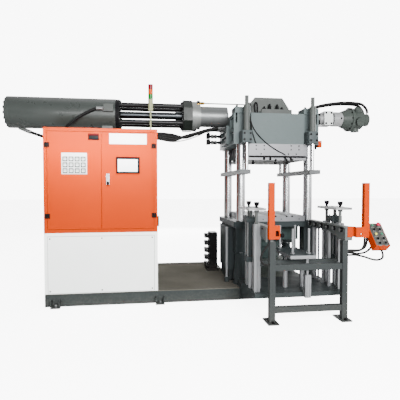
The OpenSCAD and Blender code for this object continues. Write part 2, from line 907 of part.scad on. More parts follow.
// Stack of directional valves with their solenoids, on a plinth on the deck
module valve_stack() {
  box_at([-manifold_w / 2, 0, 0], [manifold_w / 2, manifold_d, manifold_h]);
  box_at([-manifold_w / 2 - manifold_plinth, -manifold_plinth, 0],
    [manifold_w / 2 + manifold_plinth / 2, manifold_d + manifold_plinth, manifold_plinth]);
  for (i = [0:valve_rows - 1]) {
    z = manifold_h * (i + 0.75) / (valve_rows + 0.25);
    box_at([-manifold_w / 2 - valve_h, manifold_d / 5, z - valve_h / 2],
      [0, manifold_d * 4 / 5, z + valve_h / 2]);
    rod_y(solenoid_d, -solenoid_l / 2, manifold_d + solenoid_l / 2, -manifold_w / 2 - valve_h / 2, z);
  }
}

module valve_manifold() {
  color(dark_grey) {
    oil_block();
    translate([manifold_x, manifold_y, bed_h]) valve_stack();
  }
}

// Slide-out station

leg_x = leg_dx / 2;
bar_h = 60;
bar_d = 50;
upper_bar_z = 547;
lower_bar_z = 130;
foot_w = 110;
foot_d = 150;
foot_t = 14;
foot_hole_d = 16;
rail_w = 54;
rail_flange_t = 12;
rail_flange_w = 70;
rail_in_x = 370;
rail_back = beam_d / 2 + 60;
rail_low = rail_top - rail_h;
rail_step_h = 65;
rail_step_ys = [1085, 1328];
rail_end_t = 20;
rail_end_x = 446;
leg_top = rail_low;

module station_frame() {
  color(grey) {
    for (s = [-1, 1]) {
      box_at([s * leg_x - leg_w / 2, -station_front, foot_t],
        [s * leg_x + leg_w / 2, -station_front + leg_w, leg_top]);
      difference() {
        box_at([s * leg_x - foot_w / 2, -station_front - foot_d / 3, 0],
          [s * leg_x + foot_w / 2, -station_front + foot_d, foot_t]);
        rod_z(foot_hole_d, -1, foot_t + 1, s * leg_x, -station_front - foot_d / 6);
      }
    }
    for (z = [upper_bar_z, lower_bar_z])
      box_at([-leg_x, -station_front + leg_w - bar_d, z - bar_h / 2],
        [leg_x, -station_front + leg_w, z + bar_h / 2]);
  }
}

// Bar with a flange along its top and a wide end plate, shallower behind a sloping step
module rail() {
  rotate([90, 0, 90]) translate([0, 0, rail_in_x]) linear_extrude(rail_w) polygon([
    [-station_front, rail_low], [-station_front, rail_top], [-rail_back, rail_top],
    [-rail_back, rail_low + rail_step_h], [-rail_step_ys[0], rail_low + rail_step_h],
    [-rail_step_ys[1], rail_low]]);
  box_at([rail_in_x, -station_front, rail_low], [rail_end_x, -station_front + rail_end_t, rail_top]);
  box_at([rail_in_x + rail_w - rail_flange_w, -station_front, rail_top - rail_flange_t],
    [rail_in_x + rail_w, -rail_back, rail_top]);
}

module at_rails() {
  for (s = [-1, 1]) mirror([s < 0 ? 1 : 0, 0, 0]) children();
}

module roller_rails() {
  color(dark_grey) at_rails() rail();
}

roller_count = 6;
roller_inset = 70;
roller_pitch = (station_front - rail_back - 2 * roller_inset) / (roller_count - 1);
roller_l = 24;
roller_hub_d = 20;
roller_hub_l = 8;
roller_z = rail_top - rail_flange_t - roller_d / 2 - 6;

module rollers() {
  color(steel) at_rails() for (i = [0:roller_count - 1]) {
    y = -rail_back - roller_inset - i * roller_pitch;
    rod_x(roller_d, rail_in_x - roller_l, rail_in_x - 2, y, roller_z);
    rod_x(roller_hub_d, rail_in_x - roller_l - roller_hub_l, rail_in_x, y, roller_z);
  }
}

// Side ejectors: guide columns and a tie-rod cylinder on the shelf, and a plate on two guide rods

ejector_x = 460;
ejector_ys = [-1171, -860];
ejector_mid_y = (ejector_ys[0] + ejector_ys[1]) / 2;
guide_w = 64;
guide_top = 955;
guide_groove = 10;
tie_bar_z = 547;
tie_bar_h = 56;
tie_bar_d = 40;
rail_post_d = 40;
rail_post_ys = [-656, -1055];
ejector_rod_d = 32;
ejector_rod_clear = 0.3;
ejector_stroke = 250;
ejector_plate_w = 180;
ejector_plate_t = 24;
ejector_plate_z = 1098;
ejector_plate_over = 70;
ejector_plate_shift = 8;
ejector_cylinder_w = 112;
ejector_cylinder_shift = 20;
ejector_cylinder_top = 1022;
ejector_cylinder_rod_d = 36;
ejector_tube_d = 78;
knob_d = 54;
knob_h = 44;
knob_base_d = 34;
knob_neck_d = 26;
knob_neck_h = 18;
collar_d = 50;
collar_h = 22;

module at_ejectors() {
  for (s = [-1, 1]) mirror([s < 0 ? 1 : 0, 0, 0]) translate([ejector_x, 0, 0]) children();
}

// Extruded guide columns with a groove down each face, the bar that ties the front pair, and the
// posts under the rails
module ejector_guides() {
  color(pale_grey) {
    at_ejectors() for (y = ejector_ys) translate([0, y, 0]) difference() {
      box_at([-guide_w / 2, -guide_w / 2, shelf_top], [guide_w / 2, guide_w / 2, guide_top]);
      rod_z(ejector_rod_d + 2 * ejector_rod_clear, shelf_top + 40, guide_top + 1);
      for (a = [0:90:270]) rotate([0, 0, a])
        box_at([guide_w / 2 - guide_groove / 2, -guide_groove / 2, shelf_top - 1],
          [guide_w / 2 + 1, guide_groove / 2, guide_top + 1]);
    }
    box_at([-ejector_x + guide_w / 2 - eps, ejector_ys[0] - tie_bar_d / 2, tie_bar_z - tie_bar_h / 2],
      [ejector_x - guide_w / 2 + eps, ejector_ys[0] + tie_bar_d / 2, tie_bar_z + tie_bar_h / 2]);
    at_rails() for (y = rail_post_ys)
      rod_z(rail_post_d, shelf_top, rail_low + rail_step_h, rail_in_x + rail_w / 2, y);
  }
}

end_block_h = 60;
ejector_cylinder_low = 540;
ejector_post_d = 46;
cylinder_bolt_d = 14;
cylinder_bolt_at = 0.37 * ejector_cylinder_w;

// Tie-rod cylinders, each on a post: square end blocks, a round tube and four tie rods
module ejector_cylinders() {
  color(dark_grey) at_ejectors() translate([ejector_cylinder_shift, ejector_mid_y, 0]) difference() {
    union() {
      for (z = [ejector_cylinder_low, ejector_cylinder_top - end_block_h])
        translate([-ejector_cylinder_w / 2, -ejector_cylinder_w / 2, z])
          cube([ejector_cylinder_w, ejector_cylinder_w, end_block_h]);
      rod_z(ejector_post_d, shelf_top, ejector_cylinder_low + eps);
      rod_z(ejector_tube_d, ejector_cylinder_low, ejector_cylinder_top);
      for (sx = [-1, 1], sy = [-1, 1])
        rod_z(cylinder_bolt_d, ejector_cylinder_low, ejector_cylinder_top + cylinder_bolt_d,
          sx * cylinder_bolt_at, sy * cylinder_bolt_at);
    }
    rod_z(ejector_cylinder_rod_d + 2 * ejector_rod_clear, ejector_cylinder_low + end_block_h,
      ejector_cylinder_top + 20);
  }
}

module knob() {
  cylinder(d = knob_neck_d, h = knob_neck_h);
  translate([0, 0, knob_neck_h]) cylinder(d1 = knob_base_d, d2 = knob_d, h = knob_h / 2);
  translate([0, 0, knob_neck_h + knob_h / 2]) cylinder(d = knob_d, h = knob_h / 2);
}

module ejector() {
  plate_top = ejector_plate_z + ejector_plate_t;
  box_at([-ejector_plate_w / 2 + ejector_plate_shift, ejector_ys[0] - ejector_plate_over, ejector_plate_z],
    [ejector_plate_w / 2 + ejector_plate_shift, ejector_ys[1] + ejector_plate_over, plate_top]);
  rod_z(ejector_cylinder_rod_d, ejector_cylinder_top - ejector_stroke - 60, ejector_plate_z,
    ejector_cylinder_shift, ejector_mid_y);
  for (y = ejector_ys) {
    rod_z(ejector_rod_d, shelf_top + 60 + ejector_stroke, ejector_plate_z, 0, y);
    rod_z(collar_d, ejector_plate_z - collar_h, ejector_plate_z, 0, y);
    translate([0, y, plate_top - eps]) knob();
  }
}

module ejector_bars() {
  color(pale_grey) at_ejectors() ejector();
}

// Centre table with four push rods, on a vertical cylinder

table_z = 645;
table_t = 34;
table_w = 270;
table_shift = -20;
table_front = station_front - 105;
table_back = 800;
push_rod_d = 24;
push_rod_x = 88;
push_rod_ys = [-1225, -840];
push_rod_top = 905;
push_base_d = 46;
push_base_h = 10;
table_stroke = 160;
table_cylinder_w = 60;
table_cylinder_x = 43;
table_cylinder_y = -shelf_front - table_cylinder_w / 2;
table_cylinder_top = 440;
table_rod_d = 28;
table_guide_d = 30;
table_guide_x = 95;
table_guide_y = -1030;
table_sleeve_top = 520;
table_clear = 0.3;

module centre_table() {
  rod_low = table_cylinder_top - table_stroke - 40;
  color(pale_grey) {
    box_at([table_shift - table_w / 2, -table_front, table_z - table_t],
      [table_shift + table_w / 2, -table_back, table_z]);
    for (s = [-1, 1], y = push_rod_ys) {
      rod_z(push_rod_d, table_z, push_rod_top, s * push_rod_x, y);
      rod_z(push_base_d, table_z, table_z + push_base_h, s * push_rod_x, y);
    }
    rod_z(table_rod_d, rod_low, table_z - table_t, table_cylinder_x, table_cylinder_y);
    for (s = [-1, 1])
      rod_z(table_guide_d, shelf_top + 20, table_z - table_t, s * table_guide_x, table_guide_y);
  }
}

profile_slot = 5;
table_sleeve_wall = 12;

// Profile cylinder on the front edge of the shelf, and two guide sleeves on the shelf
module table_cylinder() {
  low = shelf_top - shelf_t;
  color(steel) {
    translate([table_cylinder_x, table_cylinder_y, 0]) difference() {
      box_at([-table_cylinder_w / 2, -table_cylinder_w / 2, low],
        [table_cylinder_w / 2, table_cylinder_w / 2, table_cylinder_top]);
      rod_z(table_rod_d + 2 * table_clear, low + 15, table_cylinder_top + 1);
      for (s = [-1, 1]) translate([s * table_cylinder_w / 4, -table_cylinder_w / 2, low])
        box_at([-profile_slot / 2, -1, -1], [profile_slot / 2, profile_slot, table_cylinder_top]);
    }
    for (s = [-1, 1]) translate([s * table_guide_x, table_guide_y, 0]) difference() {
      rod_z(table_guide_d + 2 * table_sleeve_wall, shelf_top, table_sleeve_top);
      rod_z(table_guide_d + 2 * table_clear, shelf_top + 10, table_sleeve_top + 1);
    }
  }
}

// Light-curtain posts and operator box

post_w = 56;
post_d = 50;
post_top = 1380;
post_low = rail_low + 32;
left_post_x = -403;
right_post_x = 570;
bracket_t = 6;
bracket_low = rail_low + 34;
bracket_x = rail_in_x + rail_w;
bracket_lap = 30;
bracket_reach = 40;
bracket_hole_d = 16;
window_w = 36;
window_box_w = 54;
window_box_h = 130;
channel_end = 20;
post_front_y = -station_front - post_d;

// Light-curtain housing: a post with a channel open towards the other post
module curtain_post(x, opening) {
  mirror([opening < 0 ? 1 : 0, 0, 0]) translate([abs(x) * sign(x * opening), post_front_y, 0]) difference() {
    box_at([-post_w / 2, 0, post_low], [post_w / 2, post_d, post_top]);
    box_at([0, post_d * 0.3, post_low + window_box_h], [post_w / 2 + 1, post_d * 0.7, post_top - channel_end]);
  }
}

// Box beside the left post, with a square window in its front
module window_box() {
  x0 = left_post_x + post_w / 2;
  margin = (window_box_w - window_w) / 2;
  difference() {
    box_at([left_post_x, post_front_y, post_low],
      [x0 + window_box_w, -station_front, post_low + window_box_h]);
    box_at([x0 + margin, post_front_y - 1, post_low + window_w * 0.75],
      [x0 + margin + window_w, -station_front - bracket_t, post_low + window_w * 2.25]);
  }
}

// Plate bent twice, from the right rail's front end to the right post
module post_bracket() {
  x1 = bracket_x + bracket_reach;
  difference() {
    union() {
      box_at([bracket_x - bracket_lap, -station_front - bracket_t, bracket_low],
        [x1, -station_front, rail_top]);
      box_at([x1 - bracket_t, post_front_y, bracket_low], [x1, -station_front, rail_top]);
      box_at([x1 - bracket_t, post_front_y, bracket_low], [right_post_x, post_front_y + bracket_t, rail_top]);
    }
    rod_y(bracket_hole_d, post_front_y - 1, post_front_y + bracket_t + 1,
      (x1 + right_post_x) / 2, rail_low + rail_h / 2);
  }
}

module curtain_posts() {
  color(orange) {
    curtain_post(left_post_x, 1);
    window_box();
    curtain_post(right_post_x, -1);
    post_bracket();
  }
}

box_w = 150;
box_l = 264;
box_depth = 90;
box_tilt = 50;
operator_z = 973;
operator_x = right_post_x + post_w / 2;

module at_operator_face() {
  translate([operator_x, -station_front, operator_z]) rotate([box_tilt, 0, 0]) children();
}

gland_d = 24;
gland_h = 14;
under_gland = [0.2 * box_w, -200];
end_gland = [0.5 * box_w, -0.62 * box_depth];

// Tilted box with a cable gland on its underside and one on its lower end
module operator_box() {
  color(orange) at_operator_face() {
    box_at([0, -box_l, -box_depth], [box_w, 0, 0]);
    rod_z(gland_d, -box_depth - gland_h, -box_depth + 1, under_gland[0], under_gland[1]);
    rod_y(gland_d, -box_l - gland_h, -box_l + 1, end_gland[0], end_gland[1]);
  }
}

button_d = 22;
button_h = 14;

module operator_buttons() {
  color(black) at_operator_face()
    for (column = [0, 1], row = [0:4])
      rod_z(button_d, 0, button_h, box_w * (0.3 + 0.4 * column), -box_l * (0.1 + 0.2 * row));
}

// Hoses and cables: swept tubes through the points of their routes

hose_d = 38;
cable_d = 20;
thin_cable_d = 12;
tube_sides = 8;

// Four hoses from the power unit, up behind the cabinet and across to the bracket: Y, height at the
// cabinet's side and height in the sag
bundle = [[-96, 1970, 1931], [-48, 1990, 1962], [0, 2012, 1995], [48, 2032, 2026]];
bundle_routes = [for (b = bundle) [
  [-1700, b[0], 825.3], [-1700, b[0], 1200], [-1700, b[0], 1600], [-1675, b[0], 1830],
  [-1580, b[0], 1955], [-1470, b[0], b[1]], [-1270, b[0], b[2]], [-1090, b[0], 1990],
  [-930, b[0], 2038], [-770, b[0], 2085], [-670, b[0], 2094], [-580.3, b[0], 2094]]];
cylinder_routes = [
  [[-2098.7, -215, 2290], [-2150, -215, 2290], [-2200, -215, 2283], [-2280, -219, 2246], [-2390, -220, 2182],
    [-2500, -200, 2098], [-2580, -145, 2020], [-2618, -115, 1920], [-2625, -110, 1780],
    [-2625, -110, 1300], [-2625, -110, 825.3]],
  [[-3080, 0, 2048], [-3000, 0, 2016], [-2900, 5, 1982], [-2800, 20, 1944], [-2715, 45, 1885],
    [-2668, 60, 1790], [-2660, 60, 1680], [-2660, 60, 1300], [-2660, 60, 825.3]]];
feed_routes = [for (y = [-50, 50]) [
  [274.3, y, 2259], [345, y, 2264], [440, y, 2305], [560, y, 2375], [740, y, 2436], [920, y, 2472],
  [1100, y, 2490], [1240, y, 2490], [1337, y, 2478], [1392, y, 2440], [1422, y, 2395], [1430, y, 2352.3]]];
// A loop from the operator box's end, two cables from the right post and one from the box's underside,
// all to the right leg, and one from the left post to the left leg
cable_routes = [
  [[673, -1586.4, 723.7], [673, -1602, 705], [672, -1614, 677], [665, -1616, 654], [647, -1608, 639],
    [615, -1588, 630], [575, -1561, 637], [535, -1530, 651], [496, -1492, 659], [464, -1458, 660],
    [442, -1434, 656], [423, -1434, 656], [405.3, -1434, 656]],
  [[562, -1475, 836.7], [562, -1475, 795], [554, -1474, 750], [535, -1470, 718], [503, -1462, 701],
    [470, -1447, 696], [442, -1436, 694], [423, -1436, 694], [405.3, -1436, 694]],
  [[586, -1475, 836.7], [586, -1475, 800], [583, -1470, 763], [571, -1460, 732], [549, -1448, 713],
    [520, -1437, 704], [480, -1420, 702], [445, -1412, 702], [424, -1412, 702], [405.3, -1412, 702]],
  [[628, -1498.5, 752.6], [628, -1484, 740], [625, -1462, 717], [612, -1442, 693], [588, -1427, 676],
    [555, -1416, 667], [515, -1408, 664], [475, -1405, 671], [445, -1404, 676], [424, -1404, 676],
    [405.3, -1404, 676]],
  [[-420, -1475, 836.7], [-422, -1475, 806], [-440, -1472, 770], [-470, -1467, 728], [-492, -1461, 684],
    [-498, -1453, 642], [-486, -1444, 607], [-462, -1437, 585], [-440, -1428, 577], [-423, -1428, 577],
    [-405.3, -1428, 577]]];
thin_cable_route = [[-1700, -135, 825.3], [-1700, -135, 1300], [-1690, -135, 1760], [-1600, -135, 1920],
  [-1470, -135, 1940], [-1270, -135, 1912], [-1100, -135, 1935], [-960, -135, 1981],
  [-820, -135, 2046], [-700, -135, 2086], [-580.3, -135, 2090]];

function curve(p, i, t) = let (
  a = p[max(i - 1, 0)], b = p[i], c = p[i + 1], d = p[min(i + 2, len(p) - 1)])
  0.5 * (2 * b + (c - a) * t + (2 * a - 5 * b + 4 * c - d) * t * t + (3 * b - a - 3 * c + d) * t * t * t);
function smoothed(p, n) = concat(
  [for (i = [0:len(p) - 2], k = [0:n - 1]) curve(p, i, k / n)], [p[len(p) - 1]]);
function unit(v) = v / norm(v);
function heading(q, i) = unit(q[min(i + 1, len(q) - 1)] - q[max(i - 1, 0)]);

// A closed tube of the given diameter along the points q; side is a direction it never runs in
module tube(q, d, side) {
  n = len(q);
  m = tube_sides;
  rings = [for (i = [0:n - 1]) let (t = heading(q, i), u = unit(cross(side, t)), v = cross(t, u))
    for (k = [0:m - 1]) q[i] + d / 2 * (cos(360 * k / m) * u + sin(360 * k / m) * v)];
  sides = [for (i = [0:n - 2], k = [0:m - 1])
    [i * m + k, i * m + (k + 1) % m, (i + 1) * m + (k + 1) % m, (i + 1) * m + k]];
  ends = [[for (k = [m - 1:-1:0]) k], [for (k = [0:m - 1]) (n - 1) * m + k]];
  polyhedron(rings, concat(sides, ends), convexity = 6);
}

module hose_bundle() {
  color(black) for (r = bundle_routes) tube(smoothed(r, 2), hose_d, [0, 1, 0.02]);
}

module cylinder_hoses() {
  color(black) for (r = cylinder_routes) tube(smoothed(r, 2), hose_d, [0.05, 1, 0]);
}

module feed_hoses() {
  color(black) for (r = feed_routes) tube(smoothed(r, 2), hose_d, [0, 1, 0.02]);
}

module control_cables() {
  color(black) {
    for (r = cable_routes) tube(smoothed(r, 2), cable_d, [0.1, 1, 0.02]);
    tube(smoothed(thin_cable_route, 2), thin_cable_d, [0, 1, 0.02]);
  }
}

base_bed();
deck_plate();
press_base();
station_shelf();
power_unit_housing();
power_unit_panel();
control_cabinet();
mounting_plate();
cabinet_hinges();
left_door();
left_door_hinges();
temperature_panel();
right_door();
right_door_hinges();
touch_screen();
door_handle();
signal_tower();
columns();
column_feet();
upper_beam();
crown_box();
upper_heating_plate();
upper_mould_plate();
lift_cylinders();
lift_bars();
main_cylinder();
moving_platen();
lower_heating_plate();
main_ram();
injection_cylinder();
cylinder_end_cap();
cylinder_flange();
injection_tie_rods();
injection_plunger();
barrel_head();
injection_barrel();
injection_bracket();
pipe_fittings();
oil_pipe();
injection_support();
port_blocks();
feed_barrel();
feed_motor();
valve_manifold();
station_frame();
roller_rails();
rollers();
ejector_guides();
ejector_cylinders();
ejector_bars();
centre_table();
table_cylinder();
curtain_posts();
operator_box();
operator_buttons();
hose_bundle();
cylinder_hoses();
feed_hoses();
control_cables();
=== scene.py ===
# Finishes, cords and small fittings of the rubber injection moulding machine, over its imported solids.
import math
import bpy
import bmesh
from mathutils import Matrix, Vector


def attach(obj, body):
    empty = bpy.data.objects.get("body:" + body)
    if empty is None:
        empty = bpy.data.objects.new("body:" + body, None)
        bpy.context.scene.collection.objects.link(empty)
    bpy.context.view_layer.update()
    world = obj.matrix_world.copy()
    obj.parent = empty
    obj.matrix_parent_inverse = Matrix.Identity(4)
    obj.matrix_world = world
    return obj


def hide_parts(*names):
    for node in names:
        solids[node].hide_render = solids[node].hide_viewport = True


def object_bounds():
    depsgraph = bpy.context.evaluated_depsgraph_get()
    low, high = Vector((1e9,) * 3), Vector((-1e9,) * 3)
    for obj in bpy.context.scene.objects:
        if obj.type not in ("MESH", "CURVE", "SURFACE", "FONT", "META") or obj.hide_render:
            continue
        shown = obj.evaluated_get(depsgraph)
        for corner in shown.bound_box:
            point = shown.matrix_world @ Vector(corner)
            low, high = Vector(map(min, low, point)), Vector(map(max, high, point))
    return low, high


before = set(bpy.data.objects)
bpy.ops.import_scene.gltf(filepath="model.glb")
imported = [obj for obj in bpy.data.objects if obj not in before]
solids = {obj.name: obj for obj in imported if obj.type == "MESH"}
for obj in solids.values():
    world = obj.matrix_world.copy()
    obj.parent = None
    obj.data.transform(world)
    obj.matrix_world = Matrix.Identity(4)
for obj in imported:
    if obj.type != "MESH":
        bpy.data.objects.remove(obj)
cad_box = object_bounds()

MM = 0.001


# Camera and lights

EYE = Vector((-1.594, -5.072, 1.333))
YAW, PITCH = 0.138, 0.032
LENS, SENSOR, VIEW_DEPTH = 34.96, 36.0, 200.0


def link(obj):
    bpy.context.scene.collection.objects.link(obj)
    return obj


camera_data = bpy.data.cameras.new("camera")
camera_data.lens = LENS
camera_data.sensor_width = SENSOR
camera_data.clip_end = VIEW_DEPTH
camera = link(bpy.data.objects.new("camera", camera_data))
camera.location = EYE
camera.rotation_euler = (math.pi / 2 - PITCH, 0.0, -YAW)
bpy.context.scene.camera = camera


def soft_light(name, place, target, size, power, spread=math.pi, mirrored=True):
    """An area light that the camera doesn't see; mirrored says whether reflections show it."""
    lamp = bpy.data.lights.new(name, "AREA")
    lamp.shape = "RECTANGLE"
    lamp.size, lamp.size_y = size
    lamp.energy = power
    lamp.spread = spread
    obj = link(bpy.data.objects.new(name, lamp))
    obj.location = place
    obj.rotation_euler = (Vector(target) - Vector(place)).to_track_quat("-Z", "Y").to_euler()
    obj.visible_camera = False
    obj.visible_glossy = mirrored


soft_light("key_softbox", (0.2, -7.4, 3.3), (-1.2, -0.4, 1.1), (4.0, 3.0), 1780.0)
soft_light("fill_softbox", (-5.5, -5.5, 2.6), (-1.8, -0.4, 1.2), (2.4, 2.4), 150.0, mirrored=False)
soft_light("cabinet_strip", (-2.15, -1.35, 2.12), (-2.15, -0.6, 1.74), (1.5, 0.2), 23.0,
           spread=math.radians(75))
soft_light("back_softbox", (-0.6, 7.6, 2.4), (-0.8, 0.4, 1.2), (4.0, 3.0), 500.0)
soft_light("right_softbox", (7.0, 0.8, 3.2), (0.4, 0.0, 1.2), (3.0, 3.0), 450.0)
soft_light("top_softbox", (-1.0, 0.4, 6.0), (-1.0, 0.0, 0.0), (6.0, 2.4), 50.0)


# Helpers for node trees

COLOUR, VALUE = "NodeSocketColor", "NodeSocketFloat"


def linear(r, g, b):
    """Linear colour from sRGB values of 0 to 255."""
    def one(c):
        c /= 255.0
        return c / 12.92 if c <= 0.04045 else ((c + 0.055) / 1.055) ** 2.4
    return (one(r), one(g), one(b), 1.0)


def new_group(name, inputs):
    """A shader group with its sockets: inputs are (label, kind, value), and what it puts out is a surface."""
    group = bpy.data.node_groups.new(name, "ShaderNodeTree")
    for label, kind, value in inputs:
        socket = group.interface.new_socket(name=label, in_out="INPUT", socket_type=kind)
        socket.default_value = value
    for label, kind in (("Colour", COLOUR), ("Roughness", VALUE), ("Height", VALUE)):
        group.interface.new_socket(name=label, in_out="OUTPUT", socket_type=kind)
    return group, group.nodes.new("NodeGroupInput"), group.nodes.new("NodeGroupOutput")


def add(tree, kind, values=None, **settings):
    """A new node: sockets among the values are linked, and the other values are set."""
    node = tree.nodes.new(kind)
    for key, value in settings.items():
        setattr(node, key, value)
    for key, value in (values or {}).items():
        if hasattr(value, "is_linked"):
            tree.links.new(value, node.inputs[key])
        else:
            node.inputs[key].default_value = value
    return node


def math_node(tree, operation, *values):
    return add(tree, "ShaderNodeMath", dict(enumerate(values)), operation=operation).outputs[0]


def noise(tree, vector, scale, detail=3.0, rough=0.55):
    return add(tree, "ShaderNodeTexNoise",
               {"Vector": vector, "Scale": scale, "Detail": detail, "Roughness": rough})


def ranged(tree, value, low, high, to_low, to_high):
    node = add(tree, "ShaderNodeMapRange",
               {"Value": value, "From Min": low, "From Max": high, "To Min": to_low, "To Max": to_high})
    return node.outputs["Result"]


def mixed(tree, factor, a, b, blend="MIX"):
    """Colour a blended with b: inputs 0, 6 and 7 of the node are the factor and the two colours."""
    node = add(tree, "ShaderNodeMix", {0: factor, 6: a, 7: b}, data_type="RGBA", blend_type=blend)
    return node.outputs[2]


# Backdrop and floor

# The room's strength as light, in reflections and to the camera
AMBIENT, MIRRORED, BACKDROP = 0.4, 2.2, 9.0
# X of a direction up to which a reflection is dark, X from which it is bright, and the dark side's share
MIRROR_SIDES = (-0.6, 0.05, 0.12)
WHITE = (1.0, 1.0, 1.0, 1.0)
FLOOR_SIZE = 80.0
FLOOR_DROP = 0.0005
FLOOR_LIFT = 7.2


def white_room():
    """A dim white room with a dark left side in reflections, seen by the camera as a plain white backdrop."""
    world = bpy.data.worlds.new("studio")
    bpy.context.scene.world = world
    world.use_nodes = True
    tree = world.node_tree
    path = tree.nodes.new("ShaderNodeLightPath")
    strength = math_node(tree, "MULTIPLY_ADD", path.outputs["Is Camera Ray"], BACKDROP - AMBIENT, AMBIENT)
    across = add(tree, "ShaderNodeSeparateXYZ", {0: add(tree, "ShaderNodeTexCoord").outputs["Generated"]})
    dark_to, bright_from, share = MIRROR_SIDES
    mirrored = ranged(tree, across.outputs["X"], dark_to, bright_from,
                      MIRRORED * share - AMBIENT, MIRRORED - AMBIENT)
    strength = math_node(tree, "MULTIPLY_ADD", path.outputs["Is Glossy Ray"], mirrored, strength)
    tree.nodes["Background"].inputs["Color"].default_value = WHITE
    tree.links.new(strength, tree.nodes["Background"].inputs["Strength"])


def pale_floor():
    """A plain floor, lifted towards the backdrop's white where the camera sees it."""
    half = FLOOR_SIZE / 2
    mesh = bpy.data.meshes.new("floor")
    corners = ((-half, -half), (half, -half), (half, half), (-half, half))
    mesh.from_pydata([(x, y, -FLOOR_DROP) for x, y in corners], [], [(0, 1, 2, 3)])
    material = bpy.data.materials.new("pale_floor")
    material.use_nodes = True
    tree = material.node_tree
    shader = tree.nodes["Principled BSDF"]
    shader.inputs["Base Color"].default_value = (0.8, 0.8, 0.8, 1.0)
    shader.inputs["Roughness"].default_value = 0.9
    shader.inputs["Emission Color"].default_value = WHITE
    seen = tree.nodes.new("ShaderNodeLightPath").outputs["Is Camera Ray"]
    tree.links.new(math_node(tree, "MULTIPLY", seen, FLOOR_LIFT), shader.inputs["Emission Strength"])
    mesh.materials.append(material)
    link(bpy.data.objects.new("floor", mesh))


white_room()
pale_floor()


# Shader groups; the scales of their noise are per metre

DUST = (176, 170, 158)
DRIFT_SCALE, SPECK_SCALE, SMUDGE_SCALE, PEEL_SCALE, STAIN_SCALE = 1.7, 46.0, 9.0, 420.0, 6.5
STAIN_ROUGHNESS = 0.18


def paint_group():
    """Sprayed paint: slow drift of tone, handling smudges in the gloss, orange peel, floor dust."""
    group, given, out = new_group(
        "sprayed_paint",
        [("Colour", COLOUR, (0.8, 0.8, 0.8, 1.0)),
         ("Shade", COLOUR, (0.6, 0.6, 0.6, 1.0)),
         ("Drift", VALUE, 0.3), ("Gloss", VALUE, 0.35),
         ("Dust", VALUE, 0.15), ("Dust height", VALUE, 0.25)])
    place = add(group, "ShaderNodeTexCoord").outputs["Object"]
    drift = noise(group, place, DRIFT_SCALE, 2.0).outputs["Fac"]
    drift = ranged(group, drift, 0.35, 0.65, 0.0, 1.0)
    drift = math_node(group, "MULTIPLY", drift, given.outputs["Drift"])
    colour = mixed(group, drift, given.outputs["Colour"], given.outputs["Shade"])
    height = add(group, "ShaderNodeSeparateXYZ", {0: place}).outputs["Z"]
    low = ranged(group, height, 0.0, given.outputs["Dust height"], 1.0, 0.0)
    speck = ranged(group, noise(group, place, SPECK_SCALE, 6.0, 0.7).outputs["Fac"], 0.42, 0.72, 0.25, 1.0)
    dust = math_node(group, "MULTIPLY", low, speck)
    dust = math_node(group, "MULTIPLY", dust, given.outputs["Dust"])
    colour = mixed(group, dust, colour, linear(*DUST))
    smudge = ranged(group, noise(group, place, SMUDGE_SCALE, 5.0, 0.65).outputs["Fac"], 0.35, 0.7, -0.05, 0.09)
    rough = math_node(group, "ADD", smudge, given.outputs["Gloss"])
    rough = math_node(group, "ADD", rough, dust)
    peel = noise(group, place, PEEL_SCALE, 2.0).outputs["Fac"]
    group.links.new(colour, out.inputs["Colour"])
    group.links.new(rough, out.inputs["Roughness"])
    group.links.new(peel, out.inputs["Height"])
    return group


def steel_group():
    """Machined steel: fine lay of the tool along one axis, stains and a little oil."""
    group, given, out = new_group(
        "machined_steel",
        [("Colour", COLOUR, (0.6, 0.6, 0.6, 1.0)),
         ("Stain", COLOUR, (0.3, 0.28, 0.25, 1.0)),
         ("Lay", "NodeSocketVector", (6.0, 300.0, 300.0)),
         ("Stained", VALUE, 0.3), ("Gloss", VALUE, 0.3)])
    place = add(group, "ShaderNodeTexCoord").outputs["Object"]
    laid = add(group, "ShaderNodeVectorMath", {0: place, 1: given.outputs["Lay"]}, operation="MULTIPLY")
    lines = noise(group, laid.outputs[0], 1.0, 4.0, 0.6).outputs["Fac"]
    stains = ranged(group, noise(group, place, STAIN_SCALE, 6.0, 0.62).outputs["Fac"], 0.46, 0.74, 0.0, 1.0)
    stains = math_node(group, "MULTIPLY", stains, given.outputs["Stained"])
    tint = ranged(group, lines, 0.3, 0.7, 0.82, 1.08)
    grey = add(group, "ShaderNodeCombineColor", {0: tint, 1: tint, 2: tint})
    colour = mixed(group, 1.0, given.outputs["Colour"], grey.outputs[0], "MULTIPLY")
    colour = mixed(group, stains, colour, given.outputs["Stain"])
    rough = ranged(group, lines, 0.3, 0.7, -0.05, 0.08)
    rough = math_node(group, "ADD", rough, given.outputs["Gloss"])
    rough = math_node(group, "MULTIPLY_ADD", stains, STAIN_ROUGHNESS, rough)
    group.links.new(colour, out.inputs["Colour"])
    group.links.new(rough, out.inputs["Roughness"])
    group.links.new(lines, out.inputs["Height"])
    return group


PAINT = paint_group()
STEEL = steel_group()
finishes = {}


def finish_of(name, group, values, metallic=0.0, bump=0.15, depth=0.0004, **principled):
    """A material whose colour, roughness and bump come from one of the groups."""
    material = bpy.data.materials.new(name)
    material.use_nodes = True
    tree = material.node_tree
    shader = tree.nodes["Principled BSDF"]
    inner = tree.nodes.new("ShaderNodeGroup")
    inner.node_tree = group
    for key, value in values.items():
        inner.inputs[key].default_value = value
    relief = add(tree, "ShaderNodeBump", {"Strength": bump, "Distance": depth,
                                          "Height": inner.outputs["Height"]})
    tree.links.new(inner.outputs["Colour"], shader.inputs["Base Color"])
    tree.links.new(inner.outputs["Roughness"], shader.inputs["Roughness"])
    tree.links.new(relief.outputs["Normal"], shader.inputs["Normal"])
    shader.inputs["Metallic"].default_value = metallic
    for key, value in principled.items():
        shader.inputs[key.replace("_", " ")].default_value = value
    finishes[name] = material


